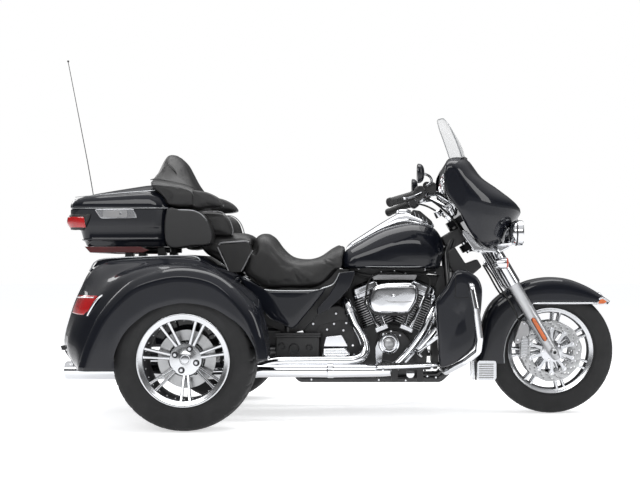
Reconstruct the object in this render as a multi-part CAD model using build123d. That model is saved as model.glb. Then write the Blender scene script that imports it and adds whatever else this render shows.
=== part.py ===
"""Full-dress touring trike: one steered wheel in front, two driven wheels behind.

Millimetres. +X forward, +Y the vehicle's left, +Z up, origin on the ground below the middle.
Three wheels, the fork, the top box's lid and the trunk's door move. The rest is one chassis.
"""

from build123d import *
from math import cos, sin, radians, sqrt
import os

# Wheels. The radii are those the wheels stand on under load.
front_axle_x = 1098.0
rear_axle_x = -623.0
front_tyre_r = 314.0
front_tyre_half = 65.0
front_lip_r = 220.7
front_seat_r = 203.0
front_rim_half = 43.0
rear_tyre_r = 318.0
rear_tyre_half = 102.0
rear_lip_r = 206.5
rear_seat_r = 190.0
rear_rim_half = 88.0
rear_track_half = 560.0
spoke_pairs = 7
front_spoke_turn = 10.0
rear_spoke_turn = -28.0
axle_r = 12.0
axle_play = 0.05

# Fork and steering head.
rake_deg = 30.5
fork_half = 120.0
slider_r = 29.0
cover_r = 35.0
stem_back = 95.0
stem_r = 15.0
stem_play = 0.05
head_r = 34.0
head_z = 905.0
head_half = 50.0
rotor_r = 150.0
rotor_y = 74.0
rotor_t = 5.0

# Rear body, its trunk and the fenders. They keep clear of the rear tyres by named gaps.
tyre_to_body = 18.0
tyre_to_fender = 18.0
tyre_to_arch = 34.0
fender_wall = 15.0
body_half = rear_track_half - rear_tyre_half - tyre_to_body
fender_outer = rear_track_half + rear_tyre_half + tyre_to_fender + fender_wall
wheel_space_r = rear_tyre_r + tyre_to_arch
body_wall = 15.0
trunk_floor_z = 400.0
door_half = 330.0
door_low_z = 475.0
door_high_z = 704.0
door_gap = 5.0
door_pin_r = 8.0
hinge_play = 1.0

# Top box.
box_half = 290.0
box_wall = 8.0
box_floor_z = 830.0
box_rim_z = 1008.0
lid_gap = 5.0
lid_pin_r = 6.0
lid_pin_out = 2.0
antenna_inset = 25.0
arm_wide = 82.0
pad_inset = 3.0
antenna_tip_z = 1827.0

# Engine. Two air-cooled cylinders in a narrow vee on one crankcase.
crank_x = 315.0
crank_z = 285.0
vee_half_deg = 22.5
deck_r = 165.0
fin_count = 9
fin_pitch = 11.5
fin_r = 78.0
vee_gap = 4.0
barrel_r = 60.0
case_half = 105.0

# Lower fairings, clear of the turn signals at full steer.
lower_in = 280.0
lower_out = 400.0

# Tubes, bars and rider's controls.
frame_tube_r = 16.0
guard_bar_r = 15.9
bar_r = 12.7
grip_r = 17.5
muffler_r = 43.0
pipe_r = 24.0


def box(x0, x1, y0, y1, z0, z1):
    return Pos((x0 + x1) / 2, (y0 + y1) / 2, (z0 + z1) / 2) * Box(
        abs(x1 - x0), abs(y1 - y0), abs(z1 - z0)
    )


def section(points, round_r=0.0):
    """A closed outline on the current plane, with every corner rounded alike."""
    if round_r:
        return make_face(FilletPolyline(*points, radius=round_r, close=True))
    return make_face(Polyline(*points, close=True))


def side_plane(y):
    return Plane(origin=(0, y, 0), x_dir=(1, 0, 0), z_dir=(0, -1, 0))


def slab(points, y_high, y_low, round_r=0.0):
    """A side profile in X and Z, carried across the vehicle from y_high down to y_low."""
    return extrude(side_plane(y_high) * section(points, round_r), amount=y_high - y_low)


def skin(sections):
    """Flat-sided loft through side profiles given as (y, points)."""
    return loft([side_plane(y) * section(points) for y, points in sections], ruled=True)


def plan(points, z0, z1, round_r=0.0):
    return extrude(Plane.XY.offset(z0) * section(points, round_r), amount=z1 - z0)


def rod(start, end, r):
    start, end = Vector(start), Vector(end)
    way = end - start
    return extrude(Plane(origin=start, z_dir=way) * Circle(r), amount=way.length)


def bar(points, r, bend):
    """A round bar or tube bent through the points."""
    path = FilletPolyline(*points, radius=bend)
    start = Plane(origin=path @ 0, z_dir=path % 0)
    return sweep(start * Circle(r), path=path)


def turned(points, x, z):
    """A solid of revolution about the cross-axis through (x, z), from (radius, y) points."""
    ring = Plane(origin=(x, 0, z), x_dir=(1, 0, 0), z_dir=(0, 0, 1)) * section(points)
    return revolve(ring, axis=Axis((x, 0, z), (0, 1, 0)))


def hinged(fixed, moving, start, end, pin_r, count=3):
    """Adds knuckles in turn to two pieces along their pin line, each clear of the other."""
    step = (Vector(*end) - Vector(*start)) / count
    gap = step.normalized() * hinge_play
    for i in range(count):
        low = Vector(*start) + step * i
        knuckle = rod(low + gap, low + step - gap, pin_r)
        relief = rod(low - gap, low + step + gap, pin_r + hinge_play)
        if i % 2:
            fixed, moving = fixed - relief, moving + knuckle
        else:
            fixed, moving = fixed + knuckle, moving - relief
    return fixed, moving


def other_side(shape):
    return mirror(shape, about=Plane.XZ)


def both(shape):
    return shape + other_side(shape)


def along_fork(s, back=0.0):
    """(x, z) at s up the fork from the axle, and back behind its line."""
    a = radians(rake_deg)
    return (
        front_axle_x - s * sin(a) - back * cos(a),
        front_tyre_r + s * cos(a) - back * sin(a),
    )


def fork_piece(shape, s, back=0.0, y=0.0):
    """Puts a shape drawn with +Z up the fork at its place on the fork."""
    x, z = along_fork(s, back)
    return Pos(x, y, z) * Rot(0, -rake_deg, 0) * shape


pieces = {}

# Wheels: a hollow tyre, a rim with paired spokes, a hub bored for its axle.


def tyre(x, z, y, outer_r, half, seat_r, lip_r, rim_half, wall):
    bead = rim_half - 4
    ring = [
        (seat_r, y - bead), (lip_r + 1, y - bead), (lip_r + 0.45 * (outer_r - lip_r), y - half),
        (outer_r - 20, y - half * 0.94), (outer_r - 3, y - half * 0.62),
        (outer_r, y - half * 0.2), (outer_r, y + half * 0.2),
        (outer_r - 3, y + half * 0.62), (outer_r - 20, y + half * 0.94),
        (lip_r + 0.45 * (outer_r - lip_r), y + half), (lip_r + 1, y + bead), (seat_r, y + bead),
        (seat_r, y + bead - wall), (outer_r - wall - 12, y + half - wall - 6),
        (outer_r - wall - 12, y - half + wall + 6), (seat_r, y - bead + wall),
    ]
    return turned(ring, x, z)


def rim(x, z, y, out, seat_r, lip_r, rim_half, hub_half, hub_r, face, depth, turn):
    """out is -1 when the wheel's face looks to the right. face is the spokes' outer plane."""
    bead = rim_half - 4
    barrel = turned(
        [
            (seat_r - 6, y - rim_half), (lip_r, y - rim_half), (lip_r, y - bead),
            (seat_r, y - bead), (seat_r, y + bead), (lip_r, y + bead), (lip_r, y + rim_half),
            (seat_r - 6, y + rim_half),
        ],
        x, z,
    )
    hub = turned(
        [
            (axle_r + axle_play, y - out * hub_half), (hub_r * 0.6, y - out * hub_half),
            (hub_r * 0.6, y + out * (face - depth)), (hub_r, y + out * (face - depth)),
            (hub_r, y + out * face), (axle_r + axle_play, y + out * face),
        ],
        x, z,
    )
    spoke = slab(
        [(6, hub_r - 8), (13, hub_r - 8), (20, seat_r - 3), (11, seat_r - 3)],
        max(out * face, out * (face - depth)) + y, min(out * face, out * (face - depth)) + y,
    )
    pair = spoke + mirror(spoke, about=Plane.YZ)
    spokes = [
        Pos(x, 0, z) * Rot(0, turn + i * 360 / spoke_pairs, 0) * pair
        for i in range(spoke_pairs)
    ]
    return barrel + hub + spokes


front_wheel_at = (front_axle_x, front_tyre_r)
rear_wheel_at = (rear_axle_x, rear_tyre_r)
pieces["front_tyre"] = tyre(
    *front_wheel_at, 0, front_tyre_r, front_tyre_half, front_seat_r, front_lip_r,
    front_rim_half, 9,
)
pieces["front_rim"] = rim(
    *front_wheel_at, 0, -1, front_seat_r, front_lip_r, front_rim_half, 70, 62, 30, 60,
    front_spoke_turn,
)
front_disc = turned(
    [
        (30, -rotor_y - rotor_t / 2), (rotor_r, -rotor_y - rotor_t / 2),
        (rotor_r, -rotor_y + rotor_t / 2), (60, -rotor_y + rotor_t / 2), (60, -66), (30, -66),
    ],
    *front_wheel_at,
)
front_hub = turned(
    [(axle_r + axle_play, -70), (37, -70), (37, 70), (axle_r + axle_play, 70)], *front_wheel_at
)
pieces["front_rim"] += both(front_disc) + front_hub

rear_tyre = tyre(
    *rear_wheel_at, -rear_track_half, rear_tyre_r, rear_tyre_half, rear_seat_r, rear_lip_r,
    rear_rim_half, 11,
)
rear_rim = rim(
    *rear_wheel_at, -rear_track_half, -1, rear_seat_r, rear_lip_r, rear_rim_half, 60, 77, 32, 34,
    rear_spoke_turn,
)
rear_rim += turned(
    [
        (46.2, -rear_track_half + 60), (131, -rear_track_half + 60),
        (131, -rear_track_half + 70), (18, -rear_track_half + 70), (18, -rear_track_half + 60),
    ],
    *rear_wheel_at,
)
pieces["rear_tyre_right"] = rear_tyre
pieces["rear_tyre_left"] = other_side(rear_tyre)
pieces["rear_rim_right"] = rear_rim
pieces["rear_rim_left"] = other_side(rear_rim)

# Frame: head tube, backbone, a cradle on each side, rear stays, axle housing.
head_s = (head_z - along_fork(0, stem_back)[1]) / cos(radians(rake_deg))
head_tube = fork_piece(Cylinder(head_r, 2 * head_half), head_s, stem_back)
head_bore = fork_piece(Cylinder(stem_r + stem_play, 2 * head_half + 20), head_s, stem_back)
head_x = along_fork(head_s, stem_back)[0]
backbone = bar([(head_x - 20, 0, head_z - 25), (430, 0, 815), (60, 0, 690), (-120, 0, 560)], 24, 60)
pieces["frame_head"] = head_tube + backbone - head_bore
cradle = bar(
    [
        (head_x - 25, -26, head_z - 25), (572, -50, 800), (590, -95, 560), (578, -118, 215),
        (540, -118, 180),
        (-150, -118, 180), (-210, -118, 300), (-210, -118, 520), (-100, -60, 600),
    ],
    frame_tube_r, 28,
)
pieces["frame_cradle_right"] = cradle
pieces["frame_cradle_left"] = other_side(cradle)
stay = bar(
    [(-226, -118, rear_tyre_r + 12), (-400, -150, rear_tyre_r),
     (rear_axle_x + 20, -150, rear_tyre_r)],
    22, 60,
)
axle_tube = rod(
    (rear_axle_x, -rear_track_half + 100, rear_tyre_r),
    (rear_axle_x, rear_track_half - 100, rear_tyre_r), 38,
)
diff = Pos(rear_axle_x, 0, rear_tyre_r) * Sphere(78)
pieces["rear_axle"] = axle_tube + diff + both(stay) + both(
    rod(
        (rear_axle_x, -rear_track_half - 25, rear_tyre_r),
        (rear_axle_x, -rear_track_half + 102, rear_tyre_r), axle_r,
    )
)

# Engine.
case_points = [
    (150, 215), (200, 190), (430, 190), (475, 240), (480, 330), (450, 400), (400, 440),
    (230, 455), (150, 420),
]
case = slab(case_points, case_half, -case_half, 14)
deck = []
for lean in (-vee_half_deg, vee_half_deg):
    deck.append(
        Pos(crank_x, 0, crank_z) * Rot(0, lean, 0) * Pos(0, 0, deck_r - 60) * Box(128, 150, 120)
    )
pieces["crankcase"] = case + deck
barrel_len = (fin_count + 0.5) * fin_pitch
head_fins = 4


def fin_plate(half_x, half_y, corner, z, thick):
    """A flat fin with its corners cut off."""
    return plan(
        [
            (-half_x, -half_y + corner), (-half_x + corner, -half_y), (half_x - corner, -half_y),
            (half_x, -half_y + corner), (half_x, half_y - corner), (half_x - corner, half_y),
            (-half_x + corner, half_y), (-half_x, half_y - corner),
        ],
        z, z + thick,
    )


for name, lean in (("rear", -vee_half_deg), ("front", vee_half_deg)):
    lined = Pos(crank_x, 0, crank_z) * Rot(0, lean, 0) * Pos(0, 0, deck_r)
    barrel = Pos(0, 0, barrel_len / 2) * Cylinder(barrel_r, barrel_len)
    head = Pos(0, 0, barrel_len + 30) * Box(112, 128, 60)
    plates = [fin_plate(fin_r, fin_r, 26, 5 + fin_pitch * i, 3) for i in range(fin_count)]
    plates += [fin_plate(79, 84, 18, barrel_len + 8 + 15 * i, 4) for i in range(head_fins)]
    far_side = crank_x - 300 * lean / vee_half_deg
    near_side = crank_x + vee_gap / 2 * lean / vee_half_deg
    pieces["cylinder_" + name] = lined * (barrel + head + plates) - box(
        far_side, near_side, -200, 200, crank_z, crank_z + 500
    )
    cover = Pos(0, 0, barrel_len + 60) * (
        extrude(RectangleRounded(150, 172, 24), amount=20)
        + Pos(0, 0, 20) * extrude(RectangleRounded(138, 158, 22), amount=36, taper=12)
    )
    pieces["rocker_cover_" + name] = lined * cover

# Cam cover, pushrod tubes and tappet blocks on the right of the crankcase.
cam = slab(
    [(215, 330), (255, 270), (330, 255), (395, 290), (405, 360), (360, 410), (250, 415)],
    -case_half, -case_half - 62, 30,
)
cam += Pos(292, -case_half - 62, 353) * Rot(90, 0, 0) * Cylinder(52, 24)
pieces["cam_cover"] = cam
pushrods = []
for lean, foot_x in ((-vee_half_deg, 262), (vee_half_deg, 345)):
    for shift in (-16, 16):
        top = (
            crank_x + (deck_r + barrel_len + 62) * sin(radians(lean)) + shift * 1.5,
            -96, crank_z + (deck_r + barrel_len + 62) * cos(radians(lean)) - 4,
        )
        pushrods.append(rod((foot_x + shift, -case_half - 20, 428), top, 9))
    pushrods.append(box(foot_x - 32, foot_x + 32, -case_half - 40, -case_half, 405, 440))
pieces["pushrod_tubes"] = pushrods[0] + pushrods[1:]

# Air cleaner: a chrome shell over a dark ring, right of the vee.
cleaner_points = [
    (192, 545), (215, 635), (262, 655), (402, 657), (425, 632), (425, 578), (392, 522),
    (370, 508), (228, 512),
]
pieces["air_cleaner_ring"] = slab(cleaner_points, -225, -252, 18) + rod(
    (318, -100, 585), (318, -226, 585), 38
)
pieces["air_cleaner_cover"] = slab(cleaner_points, -252, -292, 24)

# Gearbox, its side covers, and the primary drive's cover on the left.
gearbox_points = [
    (-60, 230), (150, 215), (150, 440), (60, 470), (-60, 440), (-80, 330),
]
pieces["gearbox"] = slab(gearbox_points, 100, -120, 12)
pieces["gearbox_covers"] = (
    slab([(-32, 390), (68, 400), (92, 345), (-28, 345)], -120, -178, 8)
    + slab([(-34, 336), (80, 336), (106, 312), (96, 286), (-32, 286)], -120, -182, 10)
)
primary_points = [
    (-150, 300), (-70, 205), (60, 190), (330, 175), (430, 215), (450, 300), (400, 385),
    (300, 410), (0, 425), (-110, 400),
]
pieces["primary_cover"] = slab(primary_points, 212, 134, 30)

# Exhaust: a header from each cylinder into one muffler on each side.
exhaust_y, exhaust_z = -275.0, 238.0
pipe_bore = 4.0
tail_x, muffler_x, collector_x = -1250.0, 60.0, 300.0
muffler_line = [
    (tail_x, muffler_r), (muffler_x, muffler_r), (collector_x, pipe_r + 3), (collector_x, 0),
    (tail_x + 60, 0), (tail_x + 60, muffler_r - pipe_bore), (tail_x, muffler_r - pipe_bore),
]
muffler = revolve(
    Pos(0, exhaust_y, exhaust_z) * section(muffler_line),
    axis=Axis((0, exhaust_y, exhaust_z), (1, 0, 0)),
)
rear_header = bar(
    [(70, -90, 565), (82, -165, 545), (165, -215, 395), (168, -235, 330), (110, exhaust_y, 262)],
    pipe_r, 30,
)
front_header = bar(
    [(520, -60, 575), (505, -165, 500), (430, -225, 365), (360, exhaust_y, exhaust_z),
     (collector_x - 10, exhaust_y, exhaust_z)],
    pipe_r, 30,
)
pieces["muffler_right"] = muffler
pieces["header_rear"] = rear_header
pieces["header_front"] = front_header
pieces["muffler_left"] = other_side(muffler)
pieces["crossover_pipe"] = bar(
    [(120, -170, 300), (120, -120, 150), (120, 150, 150), (90, -exhaust_y - 20, 215)],
    pipe_r - 2, 30,
)

# Tank, its console, seat and backrest.
tank_sections = [
    (155, [(120, 760), (140, 800), (260, 845), (420, 850), (520, 830), (535, 780), (500, 740),
           (140, 738)]),
    (135, [(80, 745), (100, 822), (250, 893), (400, 915), (520, 880), (556, 800), (520, 725),
           (90, 726)]),
    (60, [(45, 740), (92, 828), (242, 915), (400, 950), (520, 922), (566, 820), (530, 720),
          (64, 722)]),
]
tank_sections += [(-y, points) for y, points in reversed(tank_sections)]
pieces["fuel_tank"] = skin(tank_sections)
pieces["tank_console"] = slab(
    [(92, 822), (250, 912), (400, 946), (500, 924), (505, 950), (400, 1000), (345, 1000),
     (250, 950), (88, 842)],
    62, -62, 6,
)
seat_sections = [
    (165, [(-400, 668), (-312, 640), (-82, 640), (0, 680), (30, 740), (25, 792), (-50, 770),
           (-115, 755), (-188, 765), (-245, 815), (-285, 860), (-330, 870), (-372, 850),
           (-428, 704)]),
    (125, [(-391, 660), (-312, 630), (-82, 630), (26, 680), (76, 790), (70, 846), (-40, 792),
           (-115, 771), (-188, 782), (-237, 826), (-277, 889), (-332, 905), (-366, 885),
           (-428, 700)]),
]
seat_sections += [(-y, points) for y, points in reversed(seat_sections)]
pieces["rider_seat"] = skin(seat_sections)
pieces["passenger_seat"] = slab(
    [(-366, 885), (-376, 862), (-460, 720), (-600, 800), (-640, 880), (-560, 900), (-450, 896)],
    205, -205, 10,
)
lid_low_z = box_rim_z + lid_gap
arm_in = box_half - pad_inset - arm_wide
back_sections = [
    (box_half - pad_inset, [(-842, 1112), (-800, 1112), (-690, 1104), (-634, 1098),
                            (-630, lid_low_z), (-762, lid_low_z)]),
    (arm_in, [(-872, 1150), (-838, 1196), (-740, 1186), (-660, 1112), (-640, lid_low_z),
              (-757, lid_low_z)]),
    (100, [(-862, 1170), (-796, 1284), (-731, 1246), (-664, 1120), (-650, lid_low_z),
           (-757, lid_low_z)]),
    (0, [(-862, 1172), (-800, 1290), (-735, 1252), (-668, 1122), (-655, lid_low_z),
         (-757, lid_low_z)]),
]
pieces["backrest"] = skin(
    [(-y, points) for y, points in back_sections] +
    [(y, points) for y, points in reversed(back_sections[:-1])]
)
arm = slab(
    [(-660, 1108), (-573, 1092), (-527, 1070), (-497, 1035), (-500, lid_low_z),
     (-660, lid_low_z)],
    -arm_in, -arm_in - arm_wide, 12,
)
pieces["armrest_right"] = arm
pieces["armrest_left"] = other_side(arm)
lumbar_side = slab(
    [(-700, 1004), (-578, 1004), (-524, 1000), (-484, 966), (-465, 912), (-470, 880),
     (-700, 880)],
    -140, -arm_in, 14,
)
pieces["lumbar_pad"] = both(lumbar_side) + slab(
    [(-768, 1004), (-668, 1004), (-650, 980), (-644, 880), (-768, 880)], 140, -140
)

# Rear body: a hollow trunk between the wheels with its door, and a fender over each wheel.
body_points = [
    (-430, 400), (-1000, 400), (-1040, 262), (-1150, 258), (-1205, 340), (-1207, 372),
    (-1190, 473), (-1092, 709), (-1050, 767), (-918, 780), (-621, 787), (-560, 745), (-430, 690),
]
trunk_points = [
    (-445, 415), (-1145, 415), (-1187, 425), (-1176, 468), (-1080, 700), (-1040, 752),
    (-918, 765), (-627, 772), (-565, 730), (-445, 680),
]
body = slab(body_points, body_half, -body_half)
trunk_space = slab(trunk_points, body_half - body_wall, -body_half + body_wall)
rear_lean = (1190 - 1092) / (709 - 473)


def rear_face_x(z):
    """The rear panel's own plane, between the lamps."""
    return -1190 + (z - 473) * rear_lean


def door_slab(low, high, half, depth_out, depth_in):
    return slab(
        [
            (rear_face_x(low) - depth_out, low), (rear_face_x(high) - depth_out, high),
            (rear_face_x(high) + depth_in, high), (rear_face_x(low) + depth_in, low),
        ],
        half, -half,
    )


doorway = door_slab(
    door_low_z - door_gap, door_high_z + door_gap, door_half + door_gap, 60, 60
)
pieces["rear_body"] = body - trunk_space - doorway
pieces["trunk_door"] = door_slab(door_low_z, door_high_z, door_half, 0, body_wall)
for middle in (-210, 210):
    pieces["rear_body"], pieces["trunk_door"] = hinged(
        pieces["rear_body"], pieces["trunk_door"],
        (rear_face_x(door_low_z), middle - 45, door_low_z),
        (rear_face_x(door_low_z), middle + 45, door_low_z), door_pin_r,
    )

fender_base = [
    (-1150, 262), (-1205, 372), (-1180, 500), (-1135, 620), (-1060, 745), (-900, 770),
    (-600, 770), (-480, 700), (-330, 600), (-290, 500), (-270, 420), (-262, 321),
]
fender_mid = [
    (-1110, 265), (-1150, 372), (-1110, 500), (-1040, 610), (-950, 690), (-760, 740),
    (-560, 735), (-440, 670), (-320, 565), (-283, 470), (-262, 385), (-255, 321),
]
fender_crown = [
    (-1081, 275), (-1046, 390), (-982, 525), (-880, 640), (-790, 691), (-643, 723),
    (-502, 704), (-406, 646), (-316, 544), (-278, 461), (-259, 378), (-252, 321),
]
fender_lip = []
for x, z in fender_crown:
    far = sqrt((x - rear_axle_x) ** 2 + (z - rear_tyre_r) ** 2)
    keep = 1 - 34 / far
    fender_lip.append((rear_axle_x + (x - rear_axle_x) * keep, max(z * 1.0 if z < 325 else 0,
                      rear_tyre_r + (z - rear_tyre_r) * keep)))
fender = skin(
    [
        (-body_half, fender_base), (-fender_outer + 135, fender_mid),
        (-fender_outer + 35, fender_crown),
        (-fender_outer, fender_lip),
    ]
)
wheel_space = turned(
    [(0, -fender_outer + fender_wall), (wheel_space_r, -fender_outer + fender_wall),
     (wheel_space_r, -body_half), (0, -body_half)],
    *rear_wheel_at,
)
wheel_space += box(
    rear_axle_x - wheel_space_r, rear_axle_x + wheel_space_r, -fender_outer + fender_wall,
    -body_half, 200, rear_tyre_r,
)
cut_out = side_plane(-600) * make_face(
    Polyline((-287, 352), (-287, 200), (-920, 200), (-920, 371))
    + ThreePointArc((-920, 371), (-618, 581), (-287, 352))
)
fender = fender - wheel_space - extrude(cut_out, amount=120)
pieces["fender_right"] = fender
pieces["fender_left"] = other_side(fender)
pieces["bumper"] = slab(
    [(-1207, 345), (-1230, 348), (-1228, 366), (-1206, 368)], body_half - 20, -body_half + 20
)
lamp = skin(
    [
        (-body_half - 30, [(-1128, 600), (-1090, 600), (-1120, 515), (-1165, 515)]),
        (-body_half - 150, [(-1065, 600), (-1000, 600), (-1000, 515), (-1095, 515)]),
    ]
)
pieces["tail_lamps"] = both(lamp)

# Top box: a hollow base on its rack, a lid hinged on the left, lamps, an antenna.


def box_outline(rear_x, front_x, half, corner):
    return [
        (rear_x, -half + corner), (rear_x + corner * 0.3, -half + corner * 0.3),
        (rear_x + corner, -half), (front_x - corner * 0.5, -half), (front_x, -half + corner * 0.5),
        (front_x, half - corner * 0.5), (front_x - corner * 0.5, half), (rear_x + corner, half),
        (rear_x + corner * 0.3, half - corner * 0.3), (rear_x, half - corner),
    ]


def box_solid(levels):
    return loft(
        [
            Plane.XY.offset(z) * section(box_outline(rear, front, half, corner))
            for z, rear, front, half, corner in levels
        ],
        ruled=True,
    )


box_base = box_solid(
    [
        (box_floor_z, -1170, -772, box_half - 30, 60), (905, -1195, -764, box_half - 14, 70),
        (960, -1248, -760, box_half - 4, 80), (box_rim_z, -1245, -757, box_half, 80),
    ]
)
box_space = box_solid(
    [
        (box_floor_z + box_wall, -1158, -784, box_half - 40, 52),
        (905, -1186, -776, box_half - 24, 62), (box_rim_z + 1, -1232, -770, box_half - 12, 72),
    ]
)
pod = slab(
    [(-758, 1004), (-646, 1004), (-584, 971), (-556, 918), (-550, 866), (-580, 857), (-762, 857)],
    -arm_in, -box_half + 14, 14,
)
pieces["top_box"] = box_base - box_space + both(pod)
lid_levels = [
    (box_rim_z + lid_gap, -1245, -757, box_half, 80),
    (box_rim_z + 44, -1236, -776, box_half - 3, 78),
    (box_rim_z + 84, -1190, -820, box_half - 34, 80),
    (box_rim_z + 118, -1100, -850, box_half - 110, 90),
    (box_rim_z + 138, -985, -875, box_half - 220, 50),
]
lid_space_levels = [
    (box_rim_z + lid_gap - 1, -1233, -769, box_half - 12, 72),
    (box_rim_z + 44, -1226, -786, box_half - 13, 68),
    (box_rim_z + 80, -1180, -830, box_half - 44, 70),
    (box_rim_z + 108, -1095, -856, box_half - 120, 80),
    (box_rim_z + 128, -985, -880, box_half - 226, 40),
]
lid_form = box_solid(lid_levels)
pieces["top_box_lid"] = lid_form - box_solid(lid_space_levels)
pieces["backrest"] -= lid_form
lid_pin = (box_half + lid_pin_out, box_rim_z + lid_gap / 2)
for middle in (-1115, -885):
    pieces["top_box"], pieces["top_box_lid"] = hinged(
        pieces["top_box"], pieces["top_box_lid"],
        (middle - 36, *lid_pin), (middle + 36, *lid_pin), lid_pin_r,
    )
pieces["box_rack"] = both(
    rod((-1120, -140, box_floor_z - 14), (-780, -140, box_floor_z - 14), 12)
    + box(-1000, -960, -160, -120, 770, box_floor_z)
    + box(-840, -800, -160, -120, 775, box_floor_z)
)
pieces["box_latch"] = slab(
    [(-1112, 1018), (-925, 1018), (-908, 962), (-1088, 962)], -box_half - 1, -box_half - 9
)
side_lamp = slab(
    [(-1246, 975), (-1150, 975), (-1150, 916), (-1225, 916)], -box_half + 6, -box_half - 6
)
pieces["box_lamps"] = both(side_lamp)
antenna_y = box_half - antenna_inset
antenna_low = (-1249, antenna_y, 985)
ball_r = 6.0
antenna_top = (ball_r - front_axle_x - front_tyre_r, antenna_y, antenna_tip_z - ball_r)
antenna_lean = (antenna_top[0] - antenna_low[0]) / (antenna_top[2] - antenna_low[2])
pieces["antenna"] = (
    rod(antenna_low, antenna_top, 2.5)
    + rod(antenna_low, (antenna_low[0] + 70 * antenna_lean, antenna_y, antenna_low[2] + 70), 7)
    + Pos(*antenna_top) * Sphere(ball_r)
    + box(-1262, -1205, antenna_y - 12, antenna_y + 12, 970, 985)
)

# Side covers below the seat and black covers over the frame behind the cylinders.
side_cover = slab(
    [(-430, 679), (-408, 674), (-316, 614), (-27, 614), (-16, 600), (-175, 431), (-287, 470),
     (-400, 560), (-430, 600)],
    -150, -215, 8,
)
pieces["side_cover_right"] = side_cover
pieces["side_cover_left"] = other_side(side_cover)
frame_cover = slab(
    [(49, 702), (130, 714), (106, 638), (-7, 526), (-55, 502)], -130, -160, 6
)
pieces["frame_covers"] = both(frame_cover)

# Lower fairings, engine guard, floorboards and pedals.
lower_points = [
    (594, 707), (623, 721), (656, 711), (698, 686), (719, 644), (723, 610), (719, 560),
    (694, 373), (640, 311), (590, 277), (523, 256), (519, 311), (523, 415), (573, 502),
    (506, 560), (564, 636),
]
lower_inner = [(602, 700), (623, 708), (650, 700), (685, 678), (706, 640), (709, 610),
               (705, 560), (680, 380), (632, 322), (585, 290), (536, 272), (532, 311),
               (536, 411), (590, 502), (522, 561), (577, 636)]
lower = slab(lower_points, -lower_in, -lower_out) - slab(
    lower_inner, -lower_in - 12, -lower_out + 12
)
pieces["lower_fairing_right"] = lower
pieces["lower_fairing_left"] = other_side(lower)
guard_side = [
    (624, -90, 700), (660, -250, 700), (671, -420, 640), (690, -432, 540), (707, -432, 400),
    (700, -425, 340), (640, -400, 290), (560, -300, 235), (552, -140, 230),
]
guard = bar(guard_side, guard_bar_r, 24)
pieces["engine_guard"] = both(guard)
board = plan([(230, -305), (235, -410), (470, -420), (515, -380), (515, -305)], 256, 270, 12)
for bracket_x in (300, 420):
    board += box(bracket_x, bracket_x + 30, -330, -118, 190, 204)
    board += box(bracket_x, bracket_x + 30, -330, -314, 190, 256)
pieces["floorboard_right"] = board
pieces["floorboard_left"] = other_side(board)
pieces["brake_pedal"] = bar(
    [(440, -100, 300), (440, -300, 310), (424, -335, 330), (490, -350, 380)], 8, 14
) + Pos(492, -350, 386) * Rot(0, -35, 0) * Box(66, 48, 12)
pieces["gear_lever"] = bar(
    [(430, 208, 330), (430, 300, 330), (424, 335, 335), (500, 335, 356)], 7, 14
) + Pos(503, 335, 358) * Rot(90, 0, 0) * Cylinder(12, 70)

# Fork, its stem and clamps, fender and brake caliper.
leg = fork_piece(Cylinder(slider_r, 420), 175, 0, -fork_half)
upper_leg = fork_piece(Cylinder(cover_r, 330), 550, 0, -fork_half)
top_leg = fork_piece(Cylinder(24, 140), 760, 0, -fork_half)
pieces["fork_legs"] = both(leg + upper_leg + top_leg)
clamp_low_s = head_s - head_half - 22
clamp_high_s = head_s + head_half + 22
clamp = extrude(
    section(
        [
            (42, -fork_half - 30), (42, fork_half + 30), (-35, fork_half + 40),
            (-stem_back - 32, 25), (-stem_back - 32, -25), (-35, -fork_half - 40),
        ],
        12,
    ),
    amount=17, both=True,
)
pieces["fork_clamps"] = (
    fork_piece(clamp, clamp_low_s) + fork_piece(clamp, clamp_high_s)
    + fork_piece(Cylinder(stem_r, 2 * head_half + 60), head_s, stem_back)
)
pieces["front_axle"] = rod(
    (front_axle_x, -fork_half - 34, front_tyre_r), (front_axle_x, fork_half + 34, front_tyre_r),
    axle_r,
)
fender_outer_arc = [
    (725, 250), (744, 360), (764, 452), (786, 514), (825, 572), (895, 618), (944, 640),
    (1002, 664), (1087, 676), (1180, 667), (1272, 633), (1350, 587), (1386, 560),
]
fender_inner_arc = [
    (1376, 548), (1330, 575), (1262, 608), (1180, 640), (1087, 652), (1002, 641), (944, 620),
    (880, 580), (830, 530), (800, 470), (778, 400), (768, 330), (762, 250),
]
front_fender = slab(fender_outer_arc + fender_inner_arc, 84, -84)
cheek_points = fender_outer_arc + [(1376, 548), (1319, 550), (1180, 549), (1005, 549), (918, 466),
                                   (873, 382), (858, 307), (862, 250)]
front_fender += slab(cheek_points, -76, -84) + slab(cheek_points, 84, 76)
pieces["front_fender"] = front_fender
caliper = slab([(925, 470), (985, 470), (985, 385), (940, 350), (900, 380)], -58, -100, 8)
caliper -= turned(
    [(0, -rotor_y - 8), (rotor_r + 6, -rotor_y - 8), (rotor_r + 6, -rotor_y + 8),
     (0, -rotor_y + 8)],
    *front_wheel_at,
)
pieces["brake_calipers"] = both(caliper)

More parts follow.
